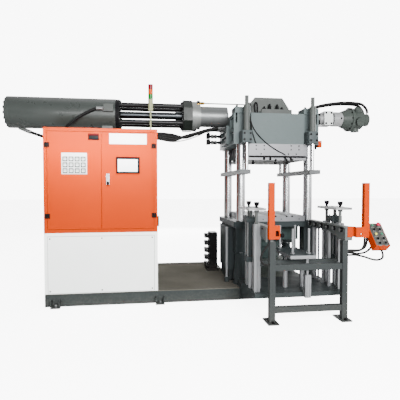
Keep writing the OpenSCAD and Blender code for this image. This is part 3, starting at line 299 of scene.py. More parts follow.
def painted(name, colour, shade, gloss=0.35, drift=0.35, dust=0.12, dust_height=0.3, bump=0.12, shine=0.1):
    finish_of(name, PAINT, {"Colour": linear(*colour), "Shade": linear(*shade), "Gloss": gloss,
                            "Drift": drift, "Dust": dust, "Dust height": dust_height},
              bump=bump, Specular_IOR_Level=shine)


def machined(name, colour, stain, lay, gloss=0.3, stained=0.3, metallic=0.85, bump=0.2, shine=0.5):
    finish_of(name, STEEL, {"Colour": linear(*colour), "Stain": linear(*stain), "Lay": lay,
                            "Gloss": gloss, "Stained": stained},
              metallic=metallic, bump=bump, Specular_IOR_Level=shine)


# Lay of the tool marks: fine across a direction and long along it, or fine along a turned axis
ALONG_X, ALONG_Y, ALONG_Z = (5.0, 260.0, 260.0), (260.0, 5.0, 260.0), (260.0, 260.0, 5.0)
TURNED_X, TURNED_Z = (320.0, 9.0, 9.0), (9.0, 9.0, 320.0)

painted("orange_paint", (148, 44, 1), (140, 40, 1), gloss=0.36, drift=0.4, dust=0.05, shine=0.02)
# Darker orange as painted shade: on the doors' edge faces and on the light-curtain lens strips
painted("orange_painted_shade", (60, 15, 1), (52, 12, 1), gloss=0.5, shine=0.02)
painted("white_paint", (238, 241, 239), (230, 235, 232), gloss=0.4, drift=0.5, dust=0.06, dust_height=0.4)
painted("bed_grey", (36, 41, 41), (32, 36, 36), gloss=0.45, dust=0.08, dust_height=0.16)
painted("deck_brown", (80, 78, 72), (68, 66, 60), gloss=0.75, drift=0.8, dust=0.04, dust_height=0.6, shine=0.0)
painted("press_grey", (38, 43, 44), (32, 36, 37), gloss=0.45, dust=0.05, dust_height=0.4, shine=0.04)
painted("cylinder_grey", (41, 45, 43), (36, 40, 38), gloss=0.3, drift=0.5, bump=0.02, shine=0.26)
painted("head_grey", (20, 24, 21), (17, 20, 18), gloss=0.34)
painted("beam_grey", (74, 82, 82), (69, 76, 77), gloss=0.42, shine=0.04)
painted("crown_grey", (60, 63, 61), (53, 56, 54), gloss=0.4)
painted("block_grey", (58, 64, 65), (53, 58, 59), gloss=0.4, shine=0.04)
painted("motor_grey", (52, 57, 54), (46, 51, 48), gloss=0.38, shine=0.08)
painted("stand_grey", (42, 45, 45), (36, 39, 39), gloss=0.4, dust=0.06, shine=0.05)
painted("rail_grey", (74, 77, 76), (64, 67, 66), gloss=0.42)
painted("ram_teal", (40, 49, 48), (34, 42, 41), shine=0.04)
painted("black_paint", (16, 16, 17), (11, 11, 12), gloss=0.45, shine=0.02)
painted("black_plastic", (13, 13, 14), (9, 9, 10), gloss=0.5, shine=0.02)
painted("plate_white", (226, 228, 227), (220, 222, 221), gloss=0.3, drift=0.3)
painted("plate_dark", (14, 15, 16), (11, 12, 13), shine=0.02)
painted("plate_red", (60, 6, 9), (50, 5, 7), shine=0.02)
painted("panel_white", (190, 193, 191), (182, 185, 183), gloss=0.4)
painted("label_grey", (92, 90, 86), (84, 82, 78), gloss=0.4, shine=0.04)
painted("bezel_grey", (26, 29, 28), (22, 25, 24), gloss=0.4, shine=0.04)
painted("display_grey", (150, 155, 152), (138, 143, 140), gloss=0.25)
painted("seam_dark", (96, 100, 99), (80, 84, 83), gloss=0.6)
painted("cream_plastic", (120, 122, 92), (110, 112, 84), gloss=0.3)
painted("lens_red", (96, 2, 16), (82, 2, 12), gloss=0.15)
painted("lens_amber", (160, 58, 2), (146, 50, 2), gloss=0.15)
painted("lens_green", (2, 84, 24), (2, 72, 18), gloss=0.15)
painted("button_red", (150, 12, 50), (134, 9, 42), gloss=0.25)
painted("button_green", (36, 96, 70), (28, 84, 60), gloss=0.25)
painted("button_yellow", (190, 176, 70), (176, 162, 58), gloss=0.25)
painted("rubber", (13, 13, 13), (9, 9, 9), gloss=0.6, drift=0.6, dust=0.03, dust_height=1.0)
machined("black_rod", (10, 10, 11), (7, 7, 7), ALONG_X, metallic=0.0, bump=0.05, shine=0.12)
machined("pale_plate", (90, 91, 94), (78, 77, 74), ALONG_X, gloss=0.42, stained=0.2, metallic=0.3)
# Darker steel as painted shade, for the faces under the upper mould plate
machined("mould_underside_painted_shade", (46, 46, 45), (38, 36, 34), ALONG_X, gloss=0.42, metallic=0.4)
machined("ground_steel", (128, 129, 130), (96, 93, 88), ALONG_X, gloss=0.34, stained=0.25, metallic=0.4)
machined("turned_barrel", (72, 74, 74), (56, 55, 53), TURNED_X, gloss=0.34, stained=0.25, metallic=0.5)
machined("turned_ring", (97, 100, 98), (74, 74, 71), TURNED_X, gloss=0.36, metallic=0.5)
machined("lift_steel", (84, 86, 87), (66, 65, 63), ALONG_Y, gloss=0.5, metallic=0.0, shine=0.05)
machined("aluminium", (118, 120, 122), (98, 96, 93), ALONG_Z, gloss=0.36, stained=0.15, metallic=0.55)
machined("hard_chrome", (196, 198, 200), (150, 148, 143), ALONG_Z, gloss=0.2, stained=0.12, metallic=1.0,
         bump=0.02)
machined("dark_chrome", (44, 46, 48), (34, 34, 34), ALONG_X, gloss=0.24, stained=0.2, metallic=1.0, bump=0.03)
machined("bright_chrome", (228, 230, 232), (190, 188, 184), ALONG_Z, gloss=0.2, stained=0.08, metallic=1.0,
         bump=0.04)
machined("zinc_screw", (104, 106, 106), (76, 73, 69), TURNED_Z, gloss=0.34, metallic=0.8)
machined("dark_screw", (12, 12, 13), (8, 8, 8), TURNED_Z, gloss=0.45, metallic=0.0, shine=0.06)
machined("brass", (150, 116, 52), (104, 78, 40), TURNED_X, metallic=0.9)
machined("brushed_face", (40, 39, 35), (33, 32, 29), ALONG_X, gloss=0.45, stained=0.2, metallic=0.3)


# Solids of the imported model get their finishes

def dress(node, finish, rules=()):
    """Gives a solid one finish, and another to the faces whose middle a rule picks."""
    mesh = solids[node].data
    mesh.materials.clear()
    mesh.materials.append(finishes[finish])
    for other, rule in rules:
        mesh.materials.append(finishes[other])
        number = len(mesh.materials) - 1
        for face in mesh.polygons:
            if rule(face.center, face.normal):
                face.material_index = number


def between(axis, low, high):
    return lambda centre, normal: low < centre[axis] < high


PLAIN = {
    "orange_paint": "control_cabinet curtain_posts operator_box",
    "white_paint": "power_unit_housing power_unit_panel",
    "bed_grey": "base_bed",
    "deck_brown": "deck_plate",
    "press_grey": "press_base station_shelf column_feet moving_platen",
    "cylinder_grey": "injection_cylinder",
    "beam_grey": "upper_beam injection_bracket",
    "crown_grey": "crown_box injection_support port_blocks",
    "motor_grey": "feed_motor main_cylinder oil_pipe",
    "stand_grey": "station_frame",
    "rail_grey": "roller_rails",
    "ram_teal": "main_ram",
    "black_paint": "cylinder_flange pipe_fittings cabinet_hinges left_door_hinges right_door_hinges",
    "black_plastic": "touch_screen",
    "black_rod": "injection_tie_rods",
    "pale_plate": "upper_heating_plate",
    "ground_steel": "mounting_plate",
    "turned_barrel": "injection_barrel",
    "aluminium": "table_cylinder",
    "hard_chrome": "columns",
    "dark_chrome": "injection_plunger",
    "bright_chrome": "door_handle",
    "panel_white": "temperature_panel",
}
for finish, names in PLAIN.items():
    for name in names.split():
        dress(name, finish)

# The doors' edge faces get darker orange as painted shade around the door gaps
for door in ("left_door", "right_door"):
    dress(door, "orange_paint", [("orange_painted_shade", lambda c, n: abs(n.y) < 0.5)])
FEED_BLOCK_X = (0.79, 0.91)
dress("feed_barrel", "ground_steel", [
    ("panel_white", lambda c, n: n.y < -0.9 and FEED_BLOCK_X[0] < c.x < FEED_BLOCK_X[1])])
HEAD_RING = (-1.006, -0.8965)
dress("barrel_head", "head_grey", [("turned_ring", between(0, *HEAD_RING))])
CAP_NUTS = (-3.3, -3.2585)
dress("cylinder_end_cap", "cylinder_grey", [("dark_screw", between(0, *CAP_NUTS))])
GREEN_Z, AMBER_Z, RED_Z, TOWER_TOP = 2.3635, 2.4215, 2.4795, 2.6
dress("signal_tower", "cream_plastic", [
    ("lens_green", between(2, GREEN_Z, AMBER_Z)),
    ("lens_amber", between(2, AMBER_Z, RED_Z)),
    ("lens_red", between(2, RED_Z, TOWER_TOP))])

SLOT_XS = (-0.09, -0.02, 0.12, 0.19)
SLOT_HALF = 0.0112


def in_slot_painted_shade(centre, normal):
    """A face inside one of the slots across a mould plate; these faces get black as painted shade in the
    recess.
    """
    return abs(normal.y) < 0.5 and any(abs(centre.x - x) < SLOT_HALF for x in SLOT_XS)


UPPER_LAYER = (1.7055, 1.7165)
# Faces pointing down get darker steel as painted shade; the slot walls get black as painted shade
dress("upper_mould_plate", "pale_plate", [
    ("mould_underside_painted_shade", lambda c, n: n.z < -0.5),
    ("black_paint", between(2, *UPPER_LAYER)),
    ("black_paint", in_slot_painted_shade)])
# The lower heating plate's slot walls get black as painted shade
dress("lower_heating_plate", "pale_plate", [("black_paint", in_slot_painted_shade)])

LIFT_RODS, LIFT_BLOCK = (1.5475, 2.5), (1.863, 2.0105)
dress("lift_bars", "lift_steel", [("hard_chrome", between(2, *LIFT_RODS))])
dress("lift_cylinders", "crown_grey", [("block_grey", between(2, *LIFT_BLOCK))])
TIE_BAR_X, TIE_BAR_Y = 0.4275, -1.1
dress("ejector_guides", "aluminium", [
    ("stand_grey", lambda c, n: abs(c.x) < TIE_BAR_X and c.y < TIE_BAR_Y and abs(n.x) < 0.5)])
EJECTOR_AT, CYLINDER_LOW = (0.48, -1.0155), 0.5399
TIE_ROD_Z, TIE_ROD_OUT = (0.6, 0.962), 0.03


def on_tie_rod(centre, normal):
    return (TIE_ROD_Z[0] < centre.z < TIE_ROD_Z[1] and abs(abs(centre.x) - EJECTOR_AT[0]) > TIE_ROD_OUT
            and abs(centre.y - EJECTOR_AT[1]) > TIE_ROD_OUT)


dress("ejector_cylinders", "press_grey", [
    ("aluminium", between(2, 0.0, CYLINDER_LOW)), ("zinc_screw", on_tie_rod)])
KNOB_Z, PLATE_UNDER = (1.123, 1.3), 1.0979
dress("ejector_bars", "ground_steel", [
    ("black_plastic", between(2, *KNOB_Z)), ("rail_grey", between(2, 0.0, PLATE_UNDER))])
TABLE_TOP = 0.6445
dress("centre_table", "aluminium", [
    ("press_grey", lambda c, n: n.z > 0.5 and abs(c.z - TABLE_TOP) < 0.001)])
HUB_X = 0.347
dress("rollers", "dark_screw", [("zinc_screw", lambda c, n: abs(c.x) < HUB_X)])
STANDPIPE, VALVES_FROM_Y = ((-0.604, -0.295), (-0.5695, -0.261), 0.208), 0.34
dress("valve_manifold", "press_grey", [
    ("aluminium", lambda c, n: STANDPIPE[0][0] < c.x < STANDPIPE[1][0]
     and STANDPIPE[0][1] < c.y < STANDPIPE[1][1] and c.z > STANDPIPE[2]),
    ("black_paint", lambda c, n: c.y > VALVES_FROM_Y)])


# Pieces

def piece(name, mesh, body, slot, *finish_names, smooth=None):
    """A finished mesh as an object that rides on a body, with the finishes named; slot is not used."""
    obj = link(bpy.data.objects.new(name, mesh))
    for finish in finish_names:
        mesh.materials.append(finishes[finish])
    if smooth is not None:
        mesh.polygons.foreach_set("use_smooth", [True] * len(mesh.polygons))
        mesh.set_sharp_from_angle(angle=math.radians(smooth))
    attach(obj, body)
    return obj


def to_mesh(name, bm):
    bmesh.ops.remove_doubles(bm, verts=bm.verts, dist=1e-6)
    bmesh.ops.recalc_face_normals(bm, faces=bm.faces)
    mesh = bpy.data.meshes.new(name)
    bm.to_mesh(mesh)
    bm.free()
    return mesh


def block(bm, low, high, edge=0.0, number=0, place=None):
    """A box with rounded edges, added to bm."""
    own = bmesh.new()
    bmesh.ops.create_cube(own, size=1.0)
    size = Vector(high) - Vector(low)
    for v in own.verts:
        v.co = Vector(low) + Vector((size[i] * (v.co[i] + 0.5) for i in range(3)))
    if edge:
        bmesh.ops.bevel(own, geom=own.edges[:], offset=edge, segments=2, affect="EDGES", profile=0.5)
    merge(bm, own, number, place)


def lathe(bm, profile, sides=24, number=0, place=None):
    """A turned form about +Z through (radius, height) points, added to bm; a profile that returns to
    its first point makes a ring, and any other is closed at both ends."""
    own = bmesh.new()
    rings = []
    for r, z in profile:
        rings.append([own.verts.new((r * math.cos(2 * math.pi * k / sides),
                                     r * math.sin(2 * math.pi * k / sides), z)) for k in range(sides)])
    for a, b in zip(rings, rings[1:]):
        for k in range(sides):
            own.faces.new((a[k], a[(k + 1) % sides], b[(k + 1) % sides], b[k]))
    if profile[0] == profile[-1]:
        bmesh.ops.remove_doubles(own, verts=own.verts, dist=1e-7)
    else:
        own.faces.new(rings[0][::-1])
        own.faces.new(rings[-1])
    bmesh.ops.recalc_face_normals(own, faces=own.faces)
    merge(bm, own, number, place)


def merge(bm, own, number=0, place=None):
    for face in own.faces:
        face.material_index = number
    if place is not None:
        bmesh.ops.transform(own, matrix=place, verts=own.verts)
    scrap = bpy.data.meshes.new("scrap")
    own.to_mesh(scrap)
    own.free()
    bm.from_mesh(scrap)
    bpy.data.meshes.remove(scrap)


def facing(place, direction):
    """Matrix that takes +Z to a direction, at a place."""
    return Matrix.Translation(Vector(place)) @ Vector(direction).to_track_quat("Z", "Y").to_matrix().to_4x4()


# Cords: the routes of the source, in millimetres

HOSE_D = 38.0
CABLE_D = 20.0
THIN_CABLE_D = 12.0
BUNDLE = [(-96, 1970, 1931), (-48, 1990, 1962), (0, 2012, 1995), (48, 2032, 2026)]
BUNDLE_ROUTES = [[
    (-1700, y, 825.3), (-1700, y, 1200), (-1700, y, 1600), (-1675, y, 1830),
    (-1580, y, 1955), (-1470, y, side), (-1270, y, sag), (-1090, y, 1990),
    (-930, y, 2038), (-770, y, 2085), (-670, y, 2094), (-580.3, y, 2094)] for y, side, sag in BUNDLE]
CYLINDER_ROUTES = [
    [(-2098.7, -215, 2290), (-2150, -215, 2290), (-2200, -215, 2283), (-2280, -219, 2246),
     (-2390, -220, 2182), (-2500, -200, 2098), (-2580, -145, 2020), (-2618, -115, 1920), (-2625, -110, 1780),
     (-2625, -110, 1300), (-2625, -110, 825.3)],
    [(-3080, 0, 2048), (-3000, 0, 2016), (-2900, 5, 1982), (-2800, 20, 1944), (-2715, 45, 1885),
     (-2668, 60, 1790), (-2660, 60, 1680), (-2660, 60, 1300), (-2660, 60, 825.3)]]
FEED_ROUTES = [[
    (274.3, y, 2259), (345, y, 2264), (440, y, 2305), (560, y, 2375), (740, y, 2436), (920, y, 2472),
    (1100, y, 2490), (1240, y, 2490), (1337, y, 2478), (1392, y, 2440), (1422, y, 2395),
    (1430, y, 2352.3)] for y in (-50, 50)]
CABLE_ROUTES = [
    [(673, -1586.4, 723.7), (673, -1602, 705), (672, -1614, 677), (665, -1616, 654), (647, -1608, 639),
     (615, -1588, 630), (575, -1561, 637), (535, -1530, 651), (496, -1492, 659), (464, -1458, 660),
     (442, -1434, 656), (423, -1434, 656), (405.3, -1434, 656)],
    [(562, -1475, 836.7), (562, -1475, 795), (554, -1474, 750), (535, -1470, 718), (503, -1462, 701),
     (470, -1447, 696), (442, -1436, 694), (423, -1436, 694), (405.3, -1436, 694)],
    [(586, -1475, 836.7), (586, -1475, 800), (583, -1470, 763), (571, -1460, 732), (549, -1448, 713),
     (520, -1437, 704), (480, -1420, 702), (445, -1412, 702), (424, -1412, 702), (405.3, -1412, 702)],
    [(628, -1498.5, 752.6), (628, -1484, 740), (625, -1462, 717), (612, -1442, 693), (588, -1427, 676),
     (555, -1416, 667), (515, -1408, 664), (475, -1405, 671), (445, -1404, 676), (424, -1404, 676),
     (405.3, -1404, 676)],
    [(-420, -1475, 836.7), (-422, -1475, 806), (-440, -1472, 770), (-470, -1467, 728), (-492, -1461, 684),
     (-498, -1453, 642), (-486, -1444, 607), (-462, -1437, 585), (-440, -1428, 577), (-423, -1428, 577),
     (-405.3, -1428, 577)]]
THIN_CABLE_ROUTE = [
    (-1700, -135, 825.3), (-1700, -135, 1300), (-1690, -135, 1760), (-1600, -135, 1920), (-1470, -135, 1940),
    (-1270, -135, 1912), (-1100, -135, 1935), (-960, -135, 1981), (-820, -135, 2046), (-700, -135, 2086),
    (-580.3, -135, 2090)]


def smooth_route(route, steps=10):
    """Points in metres on the smooth curve through a route's points."""
    p = [Vector(q) * MM for q in route]
    line = []
    for i in range(len(p) - 1):
        a, b, c, d = p[max(i - 1, 0)], p[i], p[i + 1], p[min(i + 2, len(p) - 1)]
        for k in range(steps):
            t = k / steps
            line.append(0.5 * (2 * b + (c - a) * t + (2 * a - 5 * b + 4 * c - d) * t * t
                               + (3 * b - a - 3 * c + d) * t ** 3))
    return line + [p[-1]]


def even_steps(line, step):
    """The same line with its points a step apart."""
    lengths = [0.0]
    for a, b in zip(line, line[1:]):
        lengths.append(lengths[-1] + (b - a).length)
    count = max(2, round(lengths[-1] / step))
    points, k = [], 0
    for i in range(count + 1):
        s = lengths[-1] * i / count
        while k < len(line) - 2 and lengths[k + 1] < s:
            k += 1
        points.append(line[k].lerp(line[k + 1], (s - lengths[k]) / max(lengths[k + 1] - lengths[k], 1e-9)))
    return points, lengths[-1]


def swept(points, radius, sides, ridge=0.0, pitch=4):
    """A closed tube along points; ridge is the share by which its wrap rises and falls."""
    bm = bmesh.new()
    side = Vector((0.02, 1.0, 0.013))
    rings = []
    for i, p in enumerate(points):
        t = (points[min(i + 1, len(points) - 1)] - points[max(i - 1, 0)]).normalized()
        u = side.cross(t).normalized()
        v = t.cross(u)
        ring = []
        for k in range(sides):
            angle = 2 * math.pi * k / sides
            r = radius * (1.0 - ridge * (0.5 + 0.5 * math.cos(2 * math.pi * i / pitch + angle)))
            ring.append(bm.verts.new(p + r * (math.cos(angle) * u + math.sin(angle) * v)))
        rings.append(ring)
    for a, b in zip(rings, rings[1:]):
        for k in range(sides):
            bm.faces.new((a[k], a[(k + 1) % sides], b[(k + 1) % sides], b[k]))
    bm.faces.new(rings[0][::-1])
    bm.faces.new(rings[-1])
    return bm


WRAP_RIDGE, WRAP_PITCH = 0.07, 6
hose_ends = []


def lay_cord(name, route, diameter, node, wrapped):
    """A cord along a route; a wrapped one is a hose with a ridged wrap and a fitting at both ends."""
    d = diameter * MM
    points, length = even_steps(smooth_route(route), d / 5 if wrapped else d / 3)
    bm = swept(points, d / 2, sides=14 if wrapped else 10, ridge=WRAP_RIDGE if wrapped else 0.0,
               pitch=WRAP_PITCH)
    obj = piece(name, to_mesh(name, bm), "machine", "hose_rubber", "rubber", smooth=60)
    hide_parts(node)
    if wrapped:
        for end, inner in ((points[0], points[3]), (points[-1], points[-4])):
            hose_ends.append((end, (inner - end).normalized(), d))


for stem, routes, node in (("bundle_hose", BUNDLE_ROUTES, "hose_bundle"),
                           ("cylinder_hose", CYLINDER_ROUTES, "cylinder_hoses"),
                           ("feed_hose", FEED_ROUTES, "feed_hoses")):
    for i, route in enumerate(routes):
        lay_cord(f"{stem}_{i + 1}", route, HOSE_D, node, True)
for i, route in enumerate(CABLE_ROUTES):
    lay_cord(f"control_cable_{i + 1}", route, CABLE_D, "control_cables", False)
lay_cord("bundle_cable", THIN_CABLE_ROUTE, THIN_CABLE_D, "control_cables", False)


# Fasteners: one tree of Geometry Nodes sets a bolt on each point, along that point's facing

WASHER_SHARE, CHAMFER_SHARE, TOP_SHARE = 0.22, 0.2, 0.86
HEX, HEX_WASHER = 6, 1.3
SOCKET, SCREW = {"sides": 16, "washer": 1.0}, {"sides": 12, "washer": 1.0}


def bolt_tree():
    """A washer, a head and its chamfer at each point; the shares are of the head's height and radius."""
    tree = bpy.data.node_groups.new("bolt_heads", "GeometryNodeTree")
    tree.interface.new_socket(name="Geometry", in_out="INPUT", socket_type="NodeSocketGeometry")
    for label, kind, value in (("Radius", VALUE, 0.01), ("Height", VALUE, 0.01),
                               ("Sides", "NodeSocketInt", HEX), ("Washer", VALUE, HEX_WASHER),
                               ("Seed", "NodeSocketInt", 7), ("Material", "NodeSocketMaterial", None)):
        socket = tree.interface.new_socket(name=label, in_out="INPUT", socket_type=kind)
        if value is not None:
            socket.default_value = value
    tree.interface.new_socket(name="Geometry", in_out="OUTPUT", socket_type="NodeSocketGeometry")
    given = tree.nodes.new("NodeGroupInput").outputs
    out = tree.nodes.new("NodeGroupOutput")

    def turned(sides, low, high, start, depth):
        """A cone from radius low to radius high, from height start up by depth."""
        cone = add(tree, "GeometryNodeMeshCone", {
            "Vertices": sides, "Radius Bottom": low, "Radius Top": high, "Depth": depth})
        lift = add(tree, "ShaderNodeCombineXYZ", {"Z": start})
        return add(tree, "GeometryNodeTransform", {
            "Geometry": cone.outputs["Mesh"], "Translation": lift.outputs[0]}).outputs[0]

    radius, height = given["Radius"], given["Height"]
    washer_r = math_node(tree, "MULTIPLY", radius, given["Washer"])
    washer_h = math_node(tree, "MULTIPLY", height, WASHER_SHARE)
    shank_h = math_node(tree, "MULTIPLY", height, 1.0 - CHAMFER_SHARE)
    top_r = math_node(tree, "MULTIPLY", radius, TOP_SHARE)
    top_h = math_node(tree, "MULTIPLY", height, CHAMFER_SHARE)
    joined = tree.nodes.new("GeometryNodeJoinGeometry")
    for part in (turned(24, washer_r, washer_r, 0.0, washer_h),
                 turned(given["Sides"], radius, radius, 0.0, shank_h),
                 turned(given["Sides"], radius, top_r, shank_h, top_h)):
        tree.links.new(part, joined.inputs[0])
    aimed = add(tree, "GeometryNodeInputNamedAttribute", {"Name": "facing"}, data_type="FLOAT_VECTOR")
    aligned = add(tree, "FunctionNodeAlignRotationToVector", {"Vector": aimed.outputs[0]}, axis="Z")
    # Inputs 2, 3 and 8 are the lowest and the highest value and the seed
    spin = add(tree, "FunctionNodeRandomValue", {2: 0.0, 3: 2 * math.pi, 8: given["Seed"]}, data_type="FLOAT")
    about = add(tree, "ShaderNodeCombineXYZ", {"Z": spin.outputs[1]})
    turn = add(tree, "FunctionNodeEulerToRotation", {0: about.outputs[0]})
    spun = add(tree, "FunctionNodeRotateRotation", {0: aligned.outputs[0], 1: turn.outputs[0]},
               rotation_space="LOCAL")
    placed = add(tree, "GeometryNodeInstanceOnPoints", {
        "Points": given["Geometry"], "Instance": joined.outputs[0], "Rotation": spun.outputs[0]})
    real = add(tree, "GeometryNodeRealizeInstances", {0: placed.outputs[0]})
    coated = add(tree, "GeometryNodeSetMaterial", {"Geometry": real.outputs[0], "Material": given["Material"]})
    tree.links.new(coated.outputs[0], out.inputs[0])
    return tree


BOLTS = bolt_tree()


def bolts(name, places, radius, height, sides=HEX, washer=HEX_WASHER, body="machine", finish="dark_screw"):
    """Bolt heads at (place, facing) pairs, as one finished piece."""
    points = bpy.data.meshes.new(name)
    points.from_pydata([place for place, _ in places], [], [])
    facings = points.attributes.new("facing", "FLOAT_VECTOR", "POINT")
    facings.data.foreach_set("vector", [c for _, towards in places for c in towards])
    carrier = link(bpy.data.objects.new(name + "_points", points))
    modifier = carrier.modifiers.new("bolts", "NODES")
    modifier.node_group = BOLTS
    inputs = {item.name: item.identifier for item in BOLTS.interface.items_tree if item.in_out == "INPUT"}
    for label, value in (("Radius", radius), ("Height", height), ("Sides", sides), ("Washer", washer),
                         ("Material", finishes[finish])):
        modifier[inputs[label]] = value
    evaluated = carrier.evaluated_get(bpy.context.evaluated_depsgraph_get())
    mesh = bpy.data.meshes.new_from_object(evaluated)
    carrier.modifiers.remove(modifier)
    bpy.data.objects.remove(carrier)
    piece(name, mesh, body, "black_steel", smooth=30)


def grid(xs, ys, zs, towards):
    return [((x, y, z), towards) for x in xs for y in ys for z in zs]


def ring(count, radius, x, z, towards, start=0.5):
    """Places on a circle about an axis along X."""
    return [((x, radius * math.cos(2 * math.pi * (k + start) / count),
              z + radius * math.sin(2 * math.pi * (k + start) / count)), towards) for k in range(count)]


FRONT, LEFT, RIGHT, UP, DOWN = (0, -1, 0), (-1, 0, 0), (1, 0, 0), (0, 0, 1), (0, 0, -1)
SIGNS = (-1, 1)
AXIS_Z, FEED_Z = 2.258, 2.27
FLANGE_X, HEAD_X, BOLT_CIRCLE = -1.92, -1.12, 0.165
BELL_X, BELL_CIRCLE = 1.17, 0.148
COLUMN_X, COLUMN_Y = 0.434, 0.376
EAR_TOP, EAR_BOLTS = 2.308, ((-0.068, -0.068), (0.068, -0.068), (0.0, 0.068))
FOOT_BOLT_R, FOOT_BOLT_Z = 0.091, 0.197
EJECTOR_X, EJECTOR_TOP = 0.468, 1.122
LIFT_X, LIFT_BLOCK_Y, LIFT_FACE_Y = 0.41, 0.583, 0.61
BEAM_FRONT, CABINET_FRONT = -0.49, -0.596

lift_bolts = [((sx * LIFT_X + dx, sy * LIFT_FACE_Y, z), (0, sy, 0))
              for sx in SIGNS for sy in SIGNS for dx in (-0.037, 0.037) for z in (1.9, 1.974)]
bolts("lift_block_screws", lift_bolts, radius=0.0125, height=0.007, **SOCKET)
bolts("cylinder_flange_bolts", ring(16, BOLT_CIRCLE, FLANGE_X, AXIS_Z, RIGHT), radius=0.015, height=0.02)
bolts("barrel_head_bolts", ring(16, BOLT_CIRCLE, HEAD_X, AXIS_Z, LEFT), radius=0.016, height=0.024)
bolts("heating_plate_screws",
      grid((-0.27, -0.17, 0.171, 0.271), (BEAM_FRONT,), (1.797, 1.843), FRONT)
      + grid((-0.208, 0.137, 0.236), (BEAM_FRONT,), (1.742,), FRONT),
      radius=0.0085, height=0.004, **SCREW)
bolts("ear_cap_bolts",
      [((sx * COLUMN_X + dx, sy * COLUMN_Y + dy, EAR_TOP), UP) for sx in SIGNS for sy in SIGNS
       for dx, dy in EAR_BOLTS], radius=0.016, height=0.02)
bolts("feed_block_screws", grid((0.812, 0.888), (-0.093,), (2.199, 2.341), FRONT),
      radius=0.0135, height=0.008, **SOCKET)
bolts("bell_bolts", ring(12, BELL_CIRCLE, BELL_X, FEED_Z, LEFT, 0.0), radius=0.011, height=0.012)
bolts("power_panel_screws", grid((-2.652, -2.089, -1.526), (-0.602,), (0.177, 0.763), FRONT),
      radius=0.008, height=0.005, **SCREW)
bolts("anchor_bolts", [((x, y, 0.015), UP) for x in (-2.589, -1.439) for y in (-0.636, 1.09)],
      radius=0.017, height=0.02, finish="zinc_screw")
bolts("station_foot_bolts", [((sx * 0.376, -1.475, 0.014), UP) for sx in SIGNS], radius=0.014, height=0.018)
bolts("foot_bell_bolts",
      [((sx * COLUMN_X + FOOT_BOLT_R * math.cos(a), sy * COLUMN_Y + FOOT_BOLT_R * math.sin(a), FOOT_BOLT_Z),
        (math.cos(a), math.sin(a), 0)) for sx in SIGNS for sy in SIGNS
       for a in (math.radians(60 * k + 15) for k in range(6))],
      radius=0.010, height=0.007, **SOCKET)
bolts("rail_screws",
      [((sx * 0.424, y, 0.915), (sx, 0, 0)) for sx in SIGNS for y in (-0.62, -0.78, -0.94, -1.1, -1.26)],
      radius=0.009, height=0.007, **SCREW)
bolts("ejector_plate_screws",
      [((sx * (EJECTOR_X + dx), EJECTOR_AT[1] + dy, EJECTOR_TOP), UP)
       for sx in SIGNS for dx in (-0.05, 0.07) for dy in (-0.06, 0.06)],
      radius=0.008, height=0.006, body="ejector", **SCREW)
bolts("lower_plate_screws", grid((-0.3, -0.18, 0.05, 0.28), (BEAM_FRONT,), (0.945,), FRONT),
      radius=0.0065, height=0.004, body="platen", **SCREW)


# Cabinet fittings

def plates(name, slot, parts, *finish_names, body="machine"):
    """One piece of rounded boxes: each part is (low, high, edge, finish number)."""
    bm = bmesh.new()
    for low, high, edge, number in parts:
        block(bm, low, high, edge, number)
    piece(name, to_mesh(name, bm), body, slot, *finish_names, smooth=40)


plates("door_nameplate", "white_paint",
       [((-2.001, CABINET_FRONT - 0.003, 1.822), (-1.584, CABINET_FRONT, 1.941), 0.001, 0)], "plate_white",
       body="right_door")
plates("door_dark_plate", "black_plastic",
       [((-2.232, CABINET_FRONT - 0.002, 1.863), (-2.113, CABINET_FRONT, 1.914), 0.0006, 0),
        ((-2.232, CABINET_FRONT - 0.002, 1.914), (-2.113, CABINET_FRONT, 1.936), 0.0006, 1)],
       "plate_dark", "plate_red", body="left_door")

SCREEN = ((-1.907, -0.6085, 1.512), (-1.688, -0.6069, 1.652))
plates("screen_glass", "white_paint", [(*SCREEN, 0.0005, 0)], "plate_white", body="right_door")

CONTROLLER_X, CONTROLLER_Z, CONTROLLER_PITCH, CONTROLLER_HALF = -2.382, 1.585, 0.065, 0.026
CONTROLLER_Y = -0.608


def controller_parts(x, z):
    """A bezel of four bars, a pale display over a small one and a row of keys."""
    h, bar, y = CONTROLLER_HALF, 0.0095, CONTROLLER_Y
    middle, front = h - bar / 2, y - 0.003
    parts = [((x - h, front, z + s * middle - bar / 2), (x + h, y, z + s * middle + bar / 2), 0.001, 0)
             for s in SIGNS]
    parts += [((x + s * middle - bar / 2, front, z - h), (x + s * middle + bar / 2, y, z + h), 0.001, 0)
              for s in SIGNS]
    parts.append(((x - 0.014, y - 0.0015, z + 0.003), (x + 0.014, y, z + 0.014), 0.0005, 1))
    parts.append(((x - 0.014, y - 0.0015, z - 0.005), (x + 0.006, y, z + 0.001), 0.0005, 1))
    for k in range(4):
        key_x = x - 0.0145 + 0.008 * k
        parts.append(((key_x, y - 0.002, z - 0.014), (key_x + 0.005, y, z - 0.010), 0.0005, 1))
    return parts


plates("controllers", "white_paint",
       [part for column in range(4) for row in range(3) for part in controller_parts(
           CONTROLLER_X + (column - 1.5) * CONTROLLER_PITCH, CONTROLLER_Z + (row - 1) * CONTROLLER_PITCH)],
       "bezel_grey", "display_grey", body="left_door")

